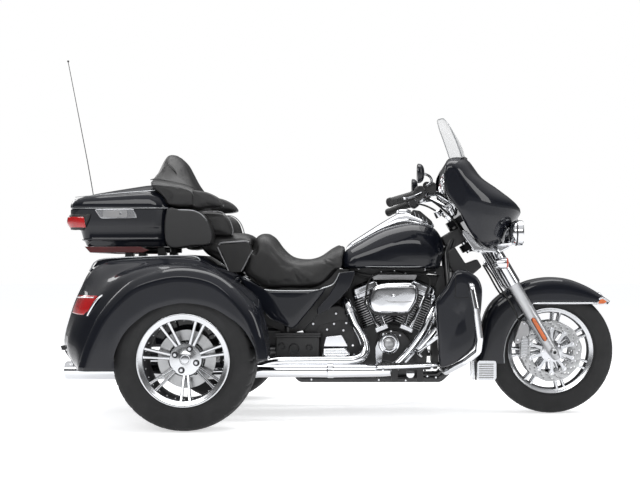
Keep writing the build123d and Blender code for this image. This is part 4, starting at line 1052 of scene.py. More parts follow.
for side, word in ((-1, "right"), (1, "left")):
    frame_line = round_points([(727, 171), (823, 171), (823, 268), (727, 268)], 16, 5)
    plate("skirt_plate_" + word, frame_line, side * 90, side * 84, "chrome_soft", "steering",
          bevel=2, segments=3, slot="chrome")
    for k in range(7):
        z = 184 + 11 * k
        tube("skirt_rib_%s_%d" % (word, k), [(736, side * 90, z), (808, side * 90, z)], 3.2,
             "cast", "steering", n=8, slot="chrome")
    block("skirt_edge_" + word, (721, side * 84, 220), (9, 14, 97), "plastic", "steering",
          bevel=2, slot="black_trim")
    block("skirt_rear_" + word, (709, side * 60, 220), (10, 60, 97), "chrome_soft", "steering",
          bevel=3, slot="chrome")

# Fairing: one smooth shell, open at the rear where the dash sits.
FAIRING = [
    (0, [(600, 1262), (672, 1262), (760, 1166), (860, 1096), (941, 1020), (920, 960), (875, 902),
         (852, 848), (760, 828), (640, 1010), (575, 1060), (565, 1180)]),
    (130, [(590, 1260), (668, 1258), (752, 1162), (852, 1090), (933, 1018), (914, 960),
           (868, 901), (848, 848), (755, 828), (630, 1010), (570, 1060), (560, 1180)]),
    (230, [(575, 1251), (660, 1251), (724, 1170), (806, 1110), (884, 1040), (874, 965),
           (842, 901), (820, 848), (736, 828), (618, 1012), (565, 1062), (553, 1180)]),
    (320, [(568, 1238), (632, 1237), (684, 1174), (738, 1118), (790, 1050), (786, 982),
           (764, 922), (743, 878), (690, 872), (603, 1016), (562, 1064), (547, 1180)]),
    (362, [(562, 1224), (612, 1222), (652, 1170), (688, 1122), (722, 1064), (722, 1016),
           (706, 968), (688, 940), (656, 936), (594, 1026), (558, 1072), (545, 1172)]),
    (383, [(564, 1204), (596, 1202), (624, 1160), (645, 1122), (664, 1078), (662, 1040),
           (650, 1012), (638, 998), (618, 998), (588, 1036), (560, 1080), (552, 1162)]),
    (385, [(580, 1170), (596, 1168), (610, 1144), (622, 1120), (632, 1092), (631, 1072),
           (624, 1058), (617, 1050), (606, 1050), (592, 1072), (578, 1094), (572, 1146)]),
]
REAR_EDGE = (9.6, 11.6)


def fairing_grid(table, du=4, dv=4):
    rows = [[Vector(p) for p in row] for row in side_rows(table)]
    n = len(rows[0])
    lines = [[curve_at(row, k / dv, True) for k in range(n * dv)] for row in rows]
    grid = [[curve_at([line[j] for line in lines], k / du) for j in range(n * dv)]
            for k in range((len(rows) - 1) * du + 1)]
    return grid


grid = fairing_grid(FAIRING)
count = len(grid[0])
points = [p for row in grid for p in row]
faces = []
for i in range(len(grid) - 1):
    for j in range(count):
        corners = (i * count + j, i * count + (j + 1) % count,
                   (i + 1) * count + (j + 1) % count, (i + 1) * count + j)
        open_rear = REAR_EDGE[0] <= j / 4 < REAR_EDGE[1]
        if not (open_rear and abs(points[corners[0]].y) < 352):
            faces.append(corners)
faces.append(tuple(range(count)))
faces.append(tuple(reversed(range((len(grid) - 1) * count, len(grid) * count))))
mesh("fairing_shell", points, faces, "paint", "steering", sharp=70, thick=5, offset=-1.0,
     slot="black_paint", replaces=["fairing"])
# A light line along the fairing's crease on each side: a painted highlight.
tube("fairing_crease_highlight_right",
     [(586, -384, 1082), (640, -376, 1098), (700, -340, 1092), (758, -306, 1068),
      (806, -276, 1026), (838, -252, 972), (852, -236, 918)], 3.2, "painted_highlight", "steering",
     samples=40, n=6, radii=[(0, 1), (0.2, 2.6), (0.8, 2.6), (1, 1)], slot="black_paint",
     mirror=True)
screen_rows = [[(x, -y, z) for x, z in line] for y, line in (
    (292, [(634, 1253), (631, 1268), (626, 1284), (620, 1300)]),
    (262, [(642, 1257), (628, 1302), (608, 1350), (584, 1396)]),
    (190, [(656, 1262), (636, 1324), (602, 1388), (558, 1447)]),
    (100, [(671, 1264), (648, 1332), (606, 1400), (545, 1462)]),
    (0, [(676, 1265), (652, 1334), (606, 1404), (536, 1469)]),
)]
screen_rows += [[(x, -y, z) for x, y, z in row] for row in reversed(screen_rows[:-1])]
surface("windshield_pane", screen_rows, "screen", "steering", du=6, dv=6, thick=4.5, offset=-1,
        bevel=1.2, sharp=60, slot="screen_clear", replaces=["windshield"])
edge_line = [row[-1] for row in screen_rows]
edge_line = [(636, -296, 1250)] + edge_line + [(636, 296, 1250)]
tube("windshield_edge", edge_line, 2.4, "screen_edge", "steering", samples=90, n=8,
     slot="screen_clear")
tube("windshield_foot", [(632, -296, 1246), (645, -262, 1255), (658, -190, 1262),
                         (674, -100, 1266), (679, 0, 1267), (674, 100, 1266),
                         (658, 190, 1262), (645, 262, 1255), (632, 296, 1246)], 4, "plastic",
     "steering", samples=50, n=8, slot="black_trim")

# Soft parts: crowned forms, puffed as cloth shells.
PUFF_FRAMES = 14


def bake(made):
    """Applies the modifiers so far and leaves a plain mesh."""
    graph = bpy.context.evaluated_depsgraph_get()
    graph.update()
    whole = bpy.data.meshes.new_from_object(made.evaluated_get(graph))
    made.modifiers.clear()
    old, made.data = made.data, whole
    bpy.data.meshes.remove(old)


def puffed(made, cap):
    """Blows the closed mesh up a little; no point moves more than cap millimetres."""
    before = [v.co.copy() for v in made.data.vertices]
    cloth = made.modifiers.new("puff", "CLOTH")
    settings = cloth.settings
    settings.quality, settings.mass = 5, 0.3
    settings.use_pressure, settings.uniform_pressure_force = True, 4.0
    settings.tension_stiffness = settings.compression_stiffness = 18
    settings.effector_weights.gravity = 0.0
    cloth.point_cache.frame_start, cloth.point_cache.frame_end = 1, PUFF_FRAMES
    for frame_number in range(1, PUFF_FRAMES + 1):
        bpy.context.scene.frame_set(frame_number)
    bake(made)
    for old, vertex in zip(before, made.data.vertices):
        move = vertex.co - old
        if move.length > cap * MM:
            vertex.co = old + move.normalized() * cap * MM


def cushion(name, table, body, cad=(), sides=2, voxel=6.0, cap=6.0):
    """A padded piece through (y, side outline) rows. sides is 2 when the table starts at the
    middle line, or -1 or 1 for a piece on that side alone."""
    if sides == 2:
        rows = side_rows(table)
    else:
        rows = [[(x, sides * y, z) for x, z in points] for y, points in table]
    made = surface(name, rows, "vinyl", body, du=4, dv=4, closed=True, caps=True, sharp=180)
    work = bmesh.new()
    work.from_mesh(made.data)
    bmesh.ops.triangulate(work, faces=[f for f in work.faces if len(f.verts) > 4])
    bmesh.ops.recalc_face_normals(work, faces=work.faces[:])
    work.to_mesh(made.data)
    work.free()
    even = made.modifiers.new("even", "REMESH")
    even.mode, even.voxel_size = "VOXEL", voxel * MM
    ease = made.modifiers.new("ease", "SMOOTH")
    ease.factor, ease.iterations = 0.5, 6
    bake(made)
    puffed(made, cap)
    made.data.polygons.foreach_set("use_smooth", [True] * len(made.data.polygons))
    fine = made.modifiers.new("smooth", "SUBSURF")
    fine.levels = fine.render_levels = 1
    if cad:
        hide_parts(*cad)
    return made


def seam(name, points, body, r=1.6, mat="stitch", mirror=False, samples=40):
    return tube(name, points, r, mat, body, samples=samples, n=6, mirror=mirror,
                slot="seat_cover")


# Rider seat: a hump behind, a deep scoop, and a nose up to the tank.
SEAT_TOP = [(-368, 872), (-350, 894), (-322, 901), (-285, 880), (-243, 820), (-190, 778),
            (-115, 766), (-50, 780), (8, 820), (52, 843), (68, 834), (60, 796)]
SEAT_LOW = [(22, 706), (-32, 648), (-88, 629), (-200, 626), (-312, 627), (-385, 668),
            (-421, 706), (-408, 790)]


def seat_row(y, drop, lift):
    top = [(x, z - drop * (0.55 if 4 <= i <= 7 else 1.0)) for i, (x, z) in enumerate(SEAT_TOP)]
    return y, top + [(x, z + lift) for x, z in SEAT_LOW]


cushion("rider_seat_pad", [seat_row(*row) for row in (
    (0, 0, 0), (60, 2, 0), (105, 10, 0), (132, 26, 2), (148, 46, 5), (157, 74, 10),
    (161, 100, 18))], "chassis", cad=["rider_seat"], voxel=6.5, cap=5)
PASSENGER = [(-628, 866), (-604, 888), (-545, 893), (-475, 896), (-412, 893), (-380, 880),
             (-378, 862), (-404, 816), (-456, 732), (-478, 728), (-560, 778), (-606, 806),
             (-630, 838)]


def passenger_row(y, drop, lift):
    return y, [(x, z - drop if z > 855 else z + lift) for x, z in PASSENGER]


cushion("passenger_seat_pad", [passenger_row(*row) for row in (
    (0, 0, 0), (90, 1, 0), (150, 5, 0), (182, 14, 1), (196, 24, 3), (201, 32, 8))],
    "chassis", cad=["passenger_seat"], voxel=6.0, cap=5)
seam("passenger_piping_right", [(-534, -207, 838), (-520, -209, 848), (-470, -210, 852),
                                (-410, -209, 856), (-388, -206, 852)], "chassis", r=4.2,
     mat="piping", mirror=True)
seam("passenger_rear_line_right", [(-540, -207, 828), (-522, -209, 790), (-502, -209, 748),
                                   (-487, -207, 712)], "chassis", r=3.0, mat="piping",
     mirror=True)
seam("passenger_front_line_right", [(-372, -190, 812), (-388, -204, 782), (-408, -207, 742),
                                    (-425, -205, 712)], "chassis", r=3.0, mat="piping",
     mirror=True)
gusset = round_points([(-532, 840), (-388, 850), (-376, 812), (-428, 706), (-484, 706)], 8, 3)
plate("seat_gusset_right", gusset, -206, -150, "vinyl", "chassis", bevel=6, segments=3,
      sharp=60, mirror=True, slot="seat_cover")

# Backrest: a domed pad that swells into a bolster wrapping round both sides.
cushion("backrest_pad", [
    (0, [(-858, 1168), (-840, 1230), (-800, 1294), (-738, 1256), (-702, 1194), (-672, 1120),
         (-656, 1060), (-658, 1022), (-757, 1022), (-800, 1080)]),
    (80, [(-858, 1166), (-840, 1226), (-800, 1288), (-738, 1250), (-702, 1190), (-670, 1118),
          (-654, 1060), (-656, 1022), (-757, 1022), (-800, 1080)]),
    (135, [(-860, 1160), (-842, 1200), (-808, 1236), (-746, 1212), (-704, 1168), (-664, 1114),
           (-648, 1060), (-650, 1022), (-757, 1022), (-800, 1080)]),
    (172, [(-864, 1150), (-848, 1172), (-815, 1184), (-752, 1170), (-704, 1144), (-658, 1106),
           (-642, 1060), (-644, 1022), (-757, 1022), (-800, 1080)]),
    (205, [(-866, 1142), (-848, 1148), (-812, 1148), (-750, 1138), (-700, 1124), (-650, 1100),
           (-636, 1060), (-638, 1022), (-757, 1022), (-800, 1080)]),
    (255, [(-858, 1130), (-840, 1136), (-800, 1134), (-740, 1126), (-690, 1117), (-644, 1096),
           (-632, 1060), (-636, 1022), (-760, 1022), (-796, 1072)]),
    (281, [(-842, 1112), (-828, 1116), (-790, 1113), (-735, 1107), (-690, 1100), (-650, 1082),
           (-640, 1056), (-644, 1028), (-754, 1026), (-784, 1062)]),
], "top_box_lid", cad=["backrest"], voxel=6.5, cap=5)
seam("backrest_seam_right", [(-806, -136, 1246), (-776, -150, 1226), (-752, -160, 1196),
                             (-742, -170, 1166), (-736, -190, 1146)], "top_box_lid", r=2.2,
     mirror=True)
seam("backrest_seam_low_right", [(-866, -196, 1154), (-838, -202, 1158), (-780, -208, 1148),
                                 (-716, -206, 1134), (-662, -190, 1118)], "top_box_lid",
     r=2.2, mirror=True)
# A seam along the bolster's top and front edge, coloured light grey as a painted highlight.
seam("bolster_seam_highlight_right", [(-846, -276, 1124), (-800, -284, 1121), (-735, -285, 1114),
                            (-690, -284, 1106), (-652, -281, 1088), (-640, -280, 1060),
                            (-640, -280, 1026)], "top_box_lid", r=1.8, mat="painted_bolster_highlight",
     mirror=True)
ARM = [(-652, 1094), (-612, 1094), (-573, 1086), (-530, 1064), (-504, 1036), (-506, 1021),
       (-560, 1018), (-648, 1018)]
for side, word in ((-1, "right"), (1, "left")):
    cushion("armrest_pad_" + word, [
        (y, swell(ARM, share, (-580, 1050)))
        for y, share in ((211, 0.86), (220, 0.97), (246, 1.0), (272, 0.98), (282, 0.88))
    ], "top_box_lid", cad=["armrests"] if side < 0 else (), sides=side, voxel=5.0, cap=4)
LUMBAR_SIDE = [(-700, 996), (-640, 998), (-578, 998), (-524, 994), (-488, 962), (-470, 912),
               (-474, 886), (-580, 884), (-700, 884), (-706, 940)]
LUMBAR_MID = [(-762, 996), (-720, 998), (-684, 998), (-664, 992), (-654, 970), (-650, 926),
              (-652, 887), (-700, 884), (-760, 884), (-764, 940)]


def lumbar_row(y, share, shrink=1.0):
    points = [(a[0] + (b[0] - a[0]) * share, a[1] + (b[1] - a[1]) * share)
              for a, b in zip(LUMBAR_MID, LUMBAR_SIDE)]
    return y, swell(points, shrink, (-590, 940))


cushion("lumbar_pad_cover", [lumbar_row(*row) for row in (
    (0, 0.0), (70, 0.02), (115, 0.2), (145, 0.72), (165, 0.96), (185, 1.0), (196, 1.0, 0.98),
    (201, 1.0, 0.92))], "chassis", cad=["lumbar_pad"], voxel=6.0, cap=4)
seam("lumbar_piping_right", [(-640, -200, 1000), (-578, -203, 1000), (-524, -203, 997),
                             (-486, -203, 964), (-466, -203, 914), (-470, -202, 886)],
     "chassis", r=2.6, mat="piping", mirror=True)

# The box's front pod on each side; the light line on its rolled edge is a painted highlight.
POD = [(-772, 1003), (-700, 1005), (-646, 1003), (-606, 988), (-578, 958), (-560, 918),
       (-553, 876), (-568, 838), (-640, 832), (-768, 832)]
pod_rows = [[(x, -y, z) for x, z in swell(POD, share, (-664, 918))] for y, share in
            ((150, 0.98), (262, 1.0), (280, 0.99), (287, 0.965), (289.5, 0.93), (290, 0.8),
             (290, 0.4), (290, 0.1))]
surface("box_pod_skins", pod_rows, "plastic_smooth", "chassis", du=4, dv=5, closed=True,
        caps=True, mirror=True, sharp=60, slot="black_trim")
tube("pod_edge_highlight_right", [(-768, -286, 1001), (-700, -286, 1003), (-648, -286, 1000),
                        (-610, -286, 985), (-583, -286, 957), (-568, -285, 924)], 3.0,
     "painted_highlight", "chassis", samples=40, n=8, radii=[(0, 1.5), (0.15, 3), (0.8, 3), (1, 1)],
     slot="black_trim", mirror=True)

# Fork: chrome covers above, satin sliders that taper to the axle.
FORK_Y = 120
UP = fork_point(1) - fork_point(0)
for side, word in ((-1, "right"), (1, "left")):
    y = side * FORK_Y
    lathe("fork_slider_" + word, [
        (0, -42), (12, -42), (18, -36), (22, -20), (25, 0), (26.5, 40), (28.5, 110), (30, 180),
        (30, 372), (32.5, 376), (32.5, 392), (27, 396)],
        fork_point(0, 0, y), "slider", "steering", axis=UP, segs=40, sharp=40,
        slot="chrome", replaces=["fork"] if side < 0 else ())
    lathe("fork_cover_" + word, [
        (30, 384), (36.5, 386), (37.5, 392), (37.5, 700), (39.5, 704), (39.5, 716), (34, 722),
        (24.2, 724), (24.2, 828), (20, 832), (0, 832)],
        fork_point(0, 0, y), "chrome", "steering", axis=UP, segs=40, sharp=40, slot="chrome")
    lathe("axle_boot_" + word, [(0, -13), (11, -13), (15, -10), (21, -2), (22, 20), (20, 26)],
          (FRONT_AXLE[0], side * 157, FRONT_AXLE[2]), "slider", "steering",
          axis=(0, -side, 0), segs=32, sharp=40, slot="chrome")
    # A matt black cup on each boot's end: painted shade for the inside of the axle's hole.
    lathe("axle_hole_shade_" + word, [(0, 0), (7, 0), (9, 1.5), (9, 4)],
          (FRONT_AXLE[0], side * 171, FRONT_AXLE[2]), "dark", "steering",
          axis=(0, -side, 0), segs=24, slot="chrome")
    # Reflector along the slider's outer side.
    low, high = fork_point(68, 6, 0), fork_point(200, 6, 0)
    line = [low.lerp(high, k / 6) for k in range(7)]
    tube("fork_reflector_" + word, [(p.x, side * 150, p.z) for p in line], 10, "amber",
         "steering", samples=24, n=14, sharp=80,
         radii=[(0, 2), (0.04, 8), (0.1, 10.5), (0.9, 10.5), (0.96, 8), (1, 2)],
         slot="red_lens")
    tube("fork_reflector_base_" + word, [(p.x, side * 147, p.z) for p in line], 12,
         "plastic", "steering", samples=24, n=14, sharp=80,
         radii=[(0, 3), (0.03, 10), (0.08, 12), (0.92, 12), (0.97, 10), (1, 3)],
         slot="black_trim")


def clamp_outline(half, front, back, corner):
    return round_points([(front, -half), (front, half), (-back * 0.2, half + 6),
                         (-back, 34), (-back, -34), (-back * 0.2, -half - 6)], corner, 4)


for word, s_low, s_high in (("low", 640, 676), ("high", 778, 812)):
    outline = clamp_outline(FORK_Y + 34, 44, 128, 16)
    rows = []
    for s in (s_low, s_high):
        rows.append([fork_point(s, -u, y) for u, y in outline])
    rows_mesh("fork_clamp_" + word, rows, "frame", "steering", sharp=40, bevel=4,
                     segments=3, slot="chrome")
stem_low, stem_high = fork_point(628, 95, 0), fork_point(838, 95, 0)
tube("steering_stem", [stem_low, stem_high], 15, "chrome_soft", "steering", n=24, slot="chrome")
lathe("stem_nut", [(0, 18), (14, 17), (19, 12), (20, 0), (20, -14)], fork_point(832, 95, 0),
      "chrome", "steering", axis=UP, segs=6, bevel=1.5, slot="chrome")
tube("front_axle_bar", [(FRONT_AXLE[0], -150, FRONT_AXLE[2]), (FRONT_AXLE[0], 150,
     FRONT_AXLE[2])], 12, "cast", "steering", n=24, slot="chrome")

# Brake calipers behind the legs: a ribbed body with a bridge and its bracket.
CALIPER = [(982, 392), (990, 412), (984, 448), (966, 468), (944, 466), (930, 440), (918, 404),
           (908, 372), (912, 352), (930, 350), (950, 362), (968, 378)]
for side, word in ((-1, "right"), (1, "left")):
    plate("caliper_" + word, round_points(CALIPER, 8, 4), side * 101, side * 62, "cast",
          "steering", bevel=7, segments=4, sharp=60, slot="frame_black",
          replaces=["brake_calipers"] if side < 0 else ())
    body_line = round_points([(942, 284), (962, 280), (978, 296), (982, 380), (972, 394),
                              (950, 392), (940, 376), (936, 300)], 10, 4)
    plate("caliper_pad_box_" + word, body_line, side * 104, side * 60, "slider", "steering",
          bevel=8, segments=4, sharp=60, slot="frame_black")
    for k in range(6):
        tube("caliper_rib_%s_%d" % (word, k),
             [(944, side * 104.5, 300 + 14 * k), (974, side * 104.5, 303 + 14 * k)], 3,
             "chrome_soft", "steering", n=8, slot="frame_black")
    bolts("caliper_bolts_" + word, [(958, side * 101, 452), (926, side * 101, 372)],
          (0, side, 0), 7, 6, "chrome", "steering", slot="chrome")
    # Brake hose from the caliper up behind the fork leg.
    tube("brake_hose_" + word,
         [(936, side * 84, 462), (900, side * 92, 540), (846, side * 96, 620),
          (806, side * 84, 690), (772, side * 60, 742)], 5, "rubber", "steering", samples=40,
         n=10, slot="grip_rubber")

# Headlamp in its chrome shell, the passing lamps and the turn signals.
lathe("headlamp_shell", [(70, -46), (80, -30), (86, -4), (92, 2), (93, 8), (91, 16), (84, 21),
                         (79, 17), (74, 8), (74, -30)],
      (908, 0, 930), "chrome", "steering", axis=(1, 0, -0.02), segs=64, slot="clear_lens",
      replaces=["headlamp"])
lathe("headlamp_bowl", [(0, -34), (30, -33), (54, -22), (70, -2), (74, 6)], (908, 0, 930),
      "reflector", "steering", axis=(1, 0, -0.02), segs=64, slot="clear_lens")
lathe("headlamp_bulb", [(0, 0), (9, -2), (13, -10), (13, -30)], (908, 0, 930), "chrome",
      "steering", axis=(1, 0, -0.02), segs=24, slot="clear_lens")
lathe("headlamp_glass", [(0, 26), (30, 24.5), (56, 20), (74, 12), (78, 8), (78, 4)],
      (908, 0, 930), "lens", "steering", axis=(1, 0, -0.02), segs=64, slot="clear_lens")
for side, word in ((-1, "right"), (1, "left")):
    y = side * 222
    lathe("passing_lamp_" + word, [
        (0, -34), (14, -33), (34, -30), (50, -22), (58, -8), (60.5, 4), (60.5, 10), (61.5, 13),
        (61.5, 30), (59, 33), (56, 33), (53, 29), (53, 20)],
        (900, y, 895), "chrome", "steering", axis=(1, 0, 0), segs=56, slot="chrome",
        replaces=["passing_lamps"] if side < 0 else ())
    lathe("passing_bowl_" + word, [(0, 2), (24, 4), (42, 12), (54, 27)], (900, y, 895),
          "reflector", "steering", axis=(1, 0, 0), segs=48, slot="chrome")
    lathe("passing_glass_" + word, [(0, 34), (30, 32), (50, 28), (54, 24)], (900, y, 895),
          "lens", "steering", axis=(1, 0, 0), segs=48, slot="clear_lens")
    lathe("passing_band_" + word, [(60.6, -2), (61.4, 0), (61.4, 4), (60.6, 6)],
          (900, y, 895), "plastic", "steering", axis=(1, 0, 0), segs=56, slot="black_trim")
    lathe("signal_shell_" + word, [
        (0, -40), (10, -38), (19, -31), (25, -18), (27, -2), (27, 24), (24, 27)],
        (830, y, 750), "chrome", "steering", axis=(1, 0, 0), segs=40, slot="chrome",
        replaces=["turn_signals"] if side < 0 and "turn_signals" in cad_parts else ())
    lathe("signal_lens_" + word, [(26.5, 22), (27.5, 26), (26, 30), (20, 34), (10, 36), (0, 36.5)],
          (830, y, 750), "amber_deep", "steering", axis=(1, 0, 0), segs=40, slot="red_lens")
    tube("signal_stalk_" + word, [(818, y, 776), (818, y, 806), (806, side * 210, 822),
                                  (760, side * 170, 824)], 8, "chrome", "steering",
         samples=24, n=14, slot="chrome")
    tube("lamp_arm_" + word, [(742, side * 140, 836), (800, side * 196, 838),
                              (868, side * 218, 842), (884, side * 221, 850)], 9, "chrome",
         "steering", samples=30, n=14, slot="chrome")
# Nacelle strips and the fluted bar between them.
for side, word in ((-1, "right"), (1, "left")):
    strip = round_points([(650, 912), (668, 908), (744, 826), (744, 812), (704, 812),
                          (648, 892)], 8, 4)
    plate("nacelle_" + word, strip, side * 167, side * 100, "chrome", "steering", bevel=7,
          segments=4, sharp=60, slot="chrome",
          replaces=["lamp_bar"] if side < 0 and "lamp_bar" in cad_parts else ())
    under = round_points([(742, 838), (800, 846), (872, 838), (876, 826), (826, 800),
                          (742, 806)], 8, 4)
    plate("lamp_bar_side_" + word, under, side * 190, side * 60, "chrome", "steering",
          bevel=6, segments=4, sharp=60, slot="chrome")
    for k in range(4):
        z = 812 + 7 * k
        tube("lamp_bar_flute_%s_%d" % (word, k), [(752, side * 190.5, z), (842, side * 190.5,
             z + 2)], 1.8, "cast", "steering", n=6, slot="chrome")
plate("lamp_bar_middle", [(742, 812), (880, 822), (880, 834), (742, 842)], -62, 62, "chrome",
      "steering", bevel=5, segments=3, slot="chrome")

# Handlebar controls. The mirrors are seen edge on, on bent chrome stems.
for side, word in ((-1, "right"), (1, "left")):
    grip_a, grip_b = Vector((402, side * 328, 1069)), Vector((293, side * 434, 1030))
    steps = 26
    ribs = []
    for k in range(steps + 1):
        t = k / steps
        ribs.append((t, 18.6 if k % 2 else 20.4))
    line = [grip_a.lerp(grip_b, k / 52) for k in range(53)]
    tube("grip_" + word, line, 20, "rubber", "steering", n=24, sharp=60,
         radii=[along(ribs, k / 52) if 1 < k < 50 else 22 for k in range(53)],
         slot="grip_rubber", replaces=["grips"] if side < 0 else ())
    end = grip_b + (grip_b - grip_a).normalized() * 6
    tube("grip_cap_" + word, [grip_b, end, end + (grip_b - grip_a).normalized() * 5], 21,
         "rubber", "steering", n=24, radii=[21, 21.5, 15], slot="grip_rubber")
    housing = [(404, 1052), (430, 1040), (458, 1062), (462, 1094), (446, 1116), (416, 1112),
               (400, 1086)]
    plate("switch_box_" + word, round_points(housing, 10, 4), side * 342, side * 284,
          "plastic_smooth", "steering", bevel=8, segments=4, sharp=60, slot="black_trim",
          replaces=["controls"] if side < 0 else ())
    for k, (x, z) in enumerate(((418, 1096), (436, 1078), (424, 1060))):
        block("switch_%s_%d" % (word, k), (x, side * 343, z), (13, 9, 10), "plastic",
              "steering", bevel=2.5, slot="black_trim")
    lathe("cylinder_body_" + word, [(0, -34), (14, -33), (17, -28), (18, 0), (18, 26), (14, 31),
                                    (0, 32)], (470, side * 262, 1088), "chrome_soft",
          "steering", axis=(0.45, side * -0.85, 0.2), segs=32, slot="chrome")
    reservoir = round_points([(452, 1092), (510, 1078), (516, 1120), (506, 1134), (462, 1138),
                              (450, 1128)], 8, 4)
    plate("reservoir_" + word, reservoir, side * 296, side * 246, "plastic_smooth",
          "steering", bevel=7, segments=4, sharp=60, slot="black_trim")
    tube("lever_" + word, [(452, side * 300, 1092), (448, side * 330, 1086),
                           (420, side * 372, 1068), (380, side * 412, 1052),
                           (352, side * 438, 1046)], 6, "chrome", "steering", samples=40,
         n=12, radii=[(0, 8), (0.2, 6.5), (0.85, 5), (0.95, 7), (1, 6)], slot="chrome")
    tube("mirror_stem_" + word, [(470, side * 300, 1118), (490, side * 328, 1134),
                                 (478, side * 362, 1156), (452, side * 392, 1165),
                                 (438, side * 404, 1165)], 6, "chrome", "steering",
         samples=40, n=12, slot="chrome")
    shell = []
    for x, share in ((451, 0.30), (449, 0.55), (444, 0.80), (436, 0.95), (428, 1.0),
                     (420, 1.0)):
        ring = []
        for k in range(36):
            a = 2 * math.pi * k / 36
            u, v = math.cos(a), math.sin(a)
            ring.append((x, side * 410 + 73 * share * math.copysign(abs(u) ** 0.75, u),
                         1165 + 44 * share * math.copysign(abs(v) ** 0.75, v)))
        shell.append(ring)
    rows_mesh("mirror_shell_" + word, shell, "paint", "steering", sharp=50,
              slot="black_paint", replaces=["mirrors"] if side < 0 else ())
    glass = [[(419.2, y, z) for x, y, z in [(0, side * 410 + (yy - side * 410) * 0.93,
                                             1165 + (zz - 1165) * 0.93)
                                            for xx, yy, zz in shell[-1]]],
             [(418.2, side * 410 + (yy - side * 410) * 0.9, 1165 + (zz - 1165) * 0.9)
              for xx, yy, zz in shell[-1]]]
    rows_mesh("mirror_glass_" + word, glass, "chrome", "steering", sharp=50, slot="chrome")
    # Cables from the controls down to the steering head.
    tube("control_cable_" + word, [(440, side * 276, 1070), (500, side * 226, 1048),
                                   (570, side * 150, 1000), (622, side * 96, 950),
                                   (652, side * 70, 900)], 5, "rubber", "steering",
         samples=40, n=10, slot="grip_rubber")
tube("handlebar_tube", [(300, -425, 1032), (420, -310, 1075), (470, -272, 1083),
                        (520, -235, 1083), (560, -205, 1064), (600, -170, 1038),
                        (612, -140, 1014), (616, -90, 1000), (616, 0, 997), (616, 90, 1000),
                        (612, 140, 1014), (600, 170, 1038), (560, 205, 1064),
                        (520, 235, 1083), (470, 272, 1083), (420, 310, 1075),
                        (300, 425, 1032)], 12.5, "chrome", "steering", samples=160, n=20,
     slot="chrome")
lathe("ignition_switch", [(0, 20), (16, 19), (22, 14), (24, 0), (24, -16)], (542, 0, 1000),
      "chrome", "steering", axis=(-0.5, 0, 0.86), segs=36, slot="chrome")

# Dash: a row of bezelled gauges and the radio face, on the rider's side of the fairing.
GAUGES = ((-105, 1128, 44), (105, 1128, 44), (-198, 1150, 27), (198, 1150, 27),
          (-30, 1176, 22), (30, 1176, 22))
for k, (y, z, r) in enumerate(GAUGES):
    lathe("gauge_bezel_%d" % k, [(r - 5, 2), (r - 3, 8), (r, 10), (r + 4, 6), (r + 5, 0),
                                 (r + 5, -8), (r - 5, -8)], (566, y, z), "chrome",
          "steering", axis=(-1, 0, 0.2), segs=40, closed_profile=True, slot="chrome")
    lathe("gauge_face_%d" % k, [(0, 1), (r - 6, 1), (r - 5, -2)], (566, y, z), "dial",
          "steering", axis=(-1, 0, 0.2), segs=40, slot="black_trim")
    lathe("gauge_ring_%d" % k, [(r - 13, 1.6), (r - 12, 2), (r - 9, 2), (r - 8, 1.6)],
          (566, y, z), "dark", "steering", axis=(-1, 0, 0.2), segs=40, slot="black_trim")
    lathe("gauge_glass_%d" % k, [(0, 7), (r * 0.6, 6), (r - 4, 4)], (566, y, z), "lens",
          "steering", axis=(-1, 0, 0.2), segs=40, slot="clear_lens")
    way = math.radians(125 - 40 * (k % 3))
    tip = (557.5, y + (r - 12) * math.cos(way), z + (r - 12) * math.sin(way))
    tube("gauge_needle_%d" % k, [(558.5, y, z), tip], 1.2, "red", "steering", n=6,
         slot="red_lens")
block("radio_face", (562, 0, 1088), (12, 168, 46), "plastic_smooth", "steering",
      turn=(0, -8, 0), bevel=4, segments=3, slot="black_trim")
block("radio_screen", (556, 0, 1090), (3, 104, 26), "glass_dark", "steering",
      turn=(0, -8, 0), bevel=1, slot="black_trim")
for k in range(8):
    block("radio_key_%d" % k, (556, -70 + 20 * k, 1070), (4, 14, 7), "plastic", "steering",
          turn=(0, -8, 0), bevel=1.5, slot="black_trim")
for side, word in ((-1, "right"), (1, "left")):
    lathe("speaker_ring_" + word, [(50, 2), (54, 7), (60, 6), (62, 0), (60, -6), (50, -6)],
          (566, side * 282, 1128), "plastic_smooth", "steering",
          axis=(-1, side * 0.05, 0.15), segs=48, closed_profile=True, slot="black_trim")
    lathe("speaker_grille_" + word, [(0, 4), (26, 3), (50, 0)], (566, side * 282, 1128),
          "plastic", "steering", axis=(-1, side * 0.05, 0.15), segs=48, slot="black_trim")
    for k in range(9):
        z = 1128 + (k - 4) * 10.5
        wide = math.sqrt(max(0, 49 ** 2 - (z - 1128) ** 2))
        tube("speaker_bar_%s_%d" % (word, k), [(560, side * 282 - wide, z),
             (560, side * 282 + wide, z)], 1.6, "plastic_smooth", "steering", n=6,
             slot="black_trim")

# Engine. Two finned cylinders in a narrow vee about the crank.
CRANK = (315.0, 285.0)
LEANS = (("rear", -22.5), ("front", 22.5))


def vee(lean, up, across=0.0):
    a = math.radians(lean)
    return (CRANK[0] + up * math.sin(a) + across * math.cos(a),
            CRANK[1] + up * math.cos(a) - across * math.sin(a))


def vee_ring(lean, up, half_x, half_y, corner, n=5):
    """A rounded oblong square to the cylinder's own axis, kept on its side of the vee."""
    ring = []
    for sx, sy, start in ((-1, -1, 180), (1, -1, 270), (1, 1, 0), (-1, 1, 90)):
        for k in range(n):
            a = math.radians(start + 90 * k / (n - 1))
            u = sx * (half_x - corner) + corner * math.cos(a)
            v = sy * (half_y - corner) + corner * math.sin(a)
            x, z = vee(lean, up, u)
            x = min(x, CRANK[0] - 2) if lean < 0 else max(x, CRANK[0] + 2)
            ring.append((x, v, z))
    return ring


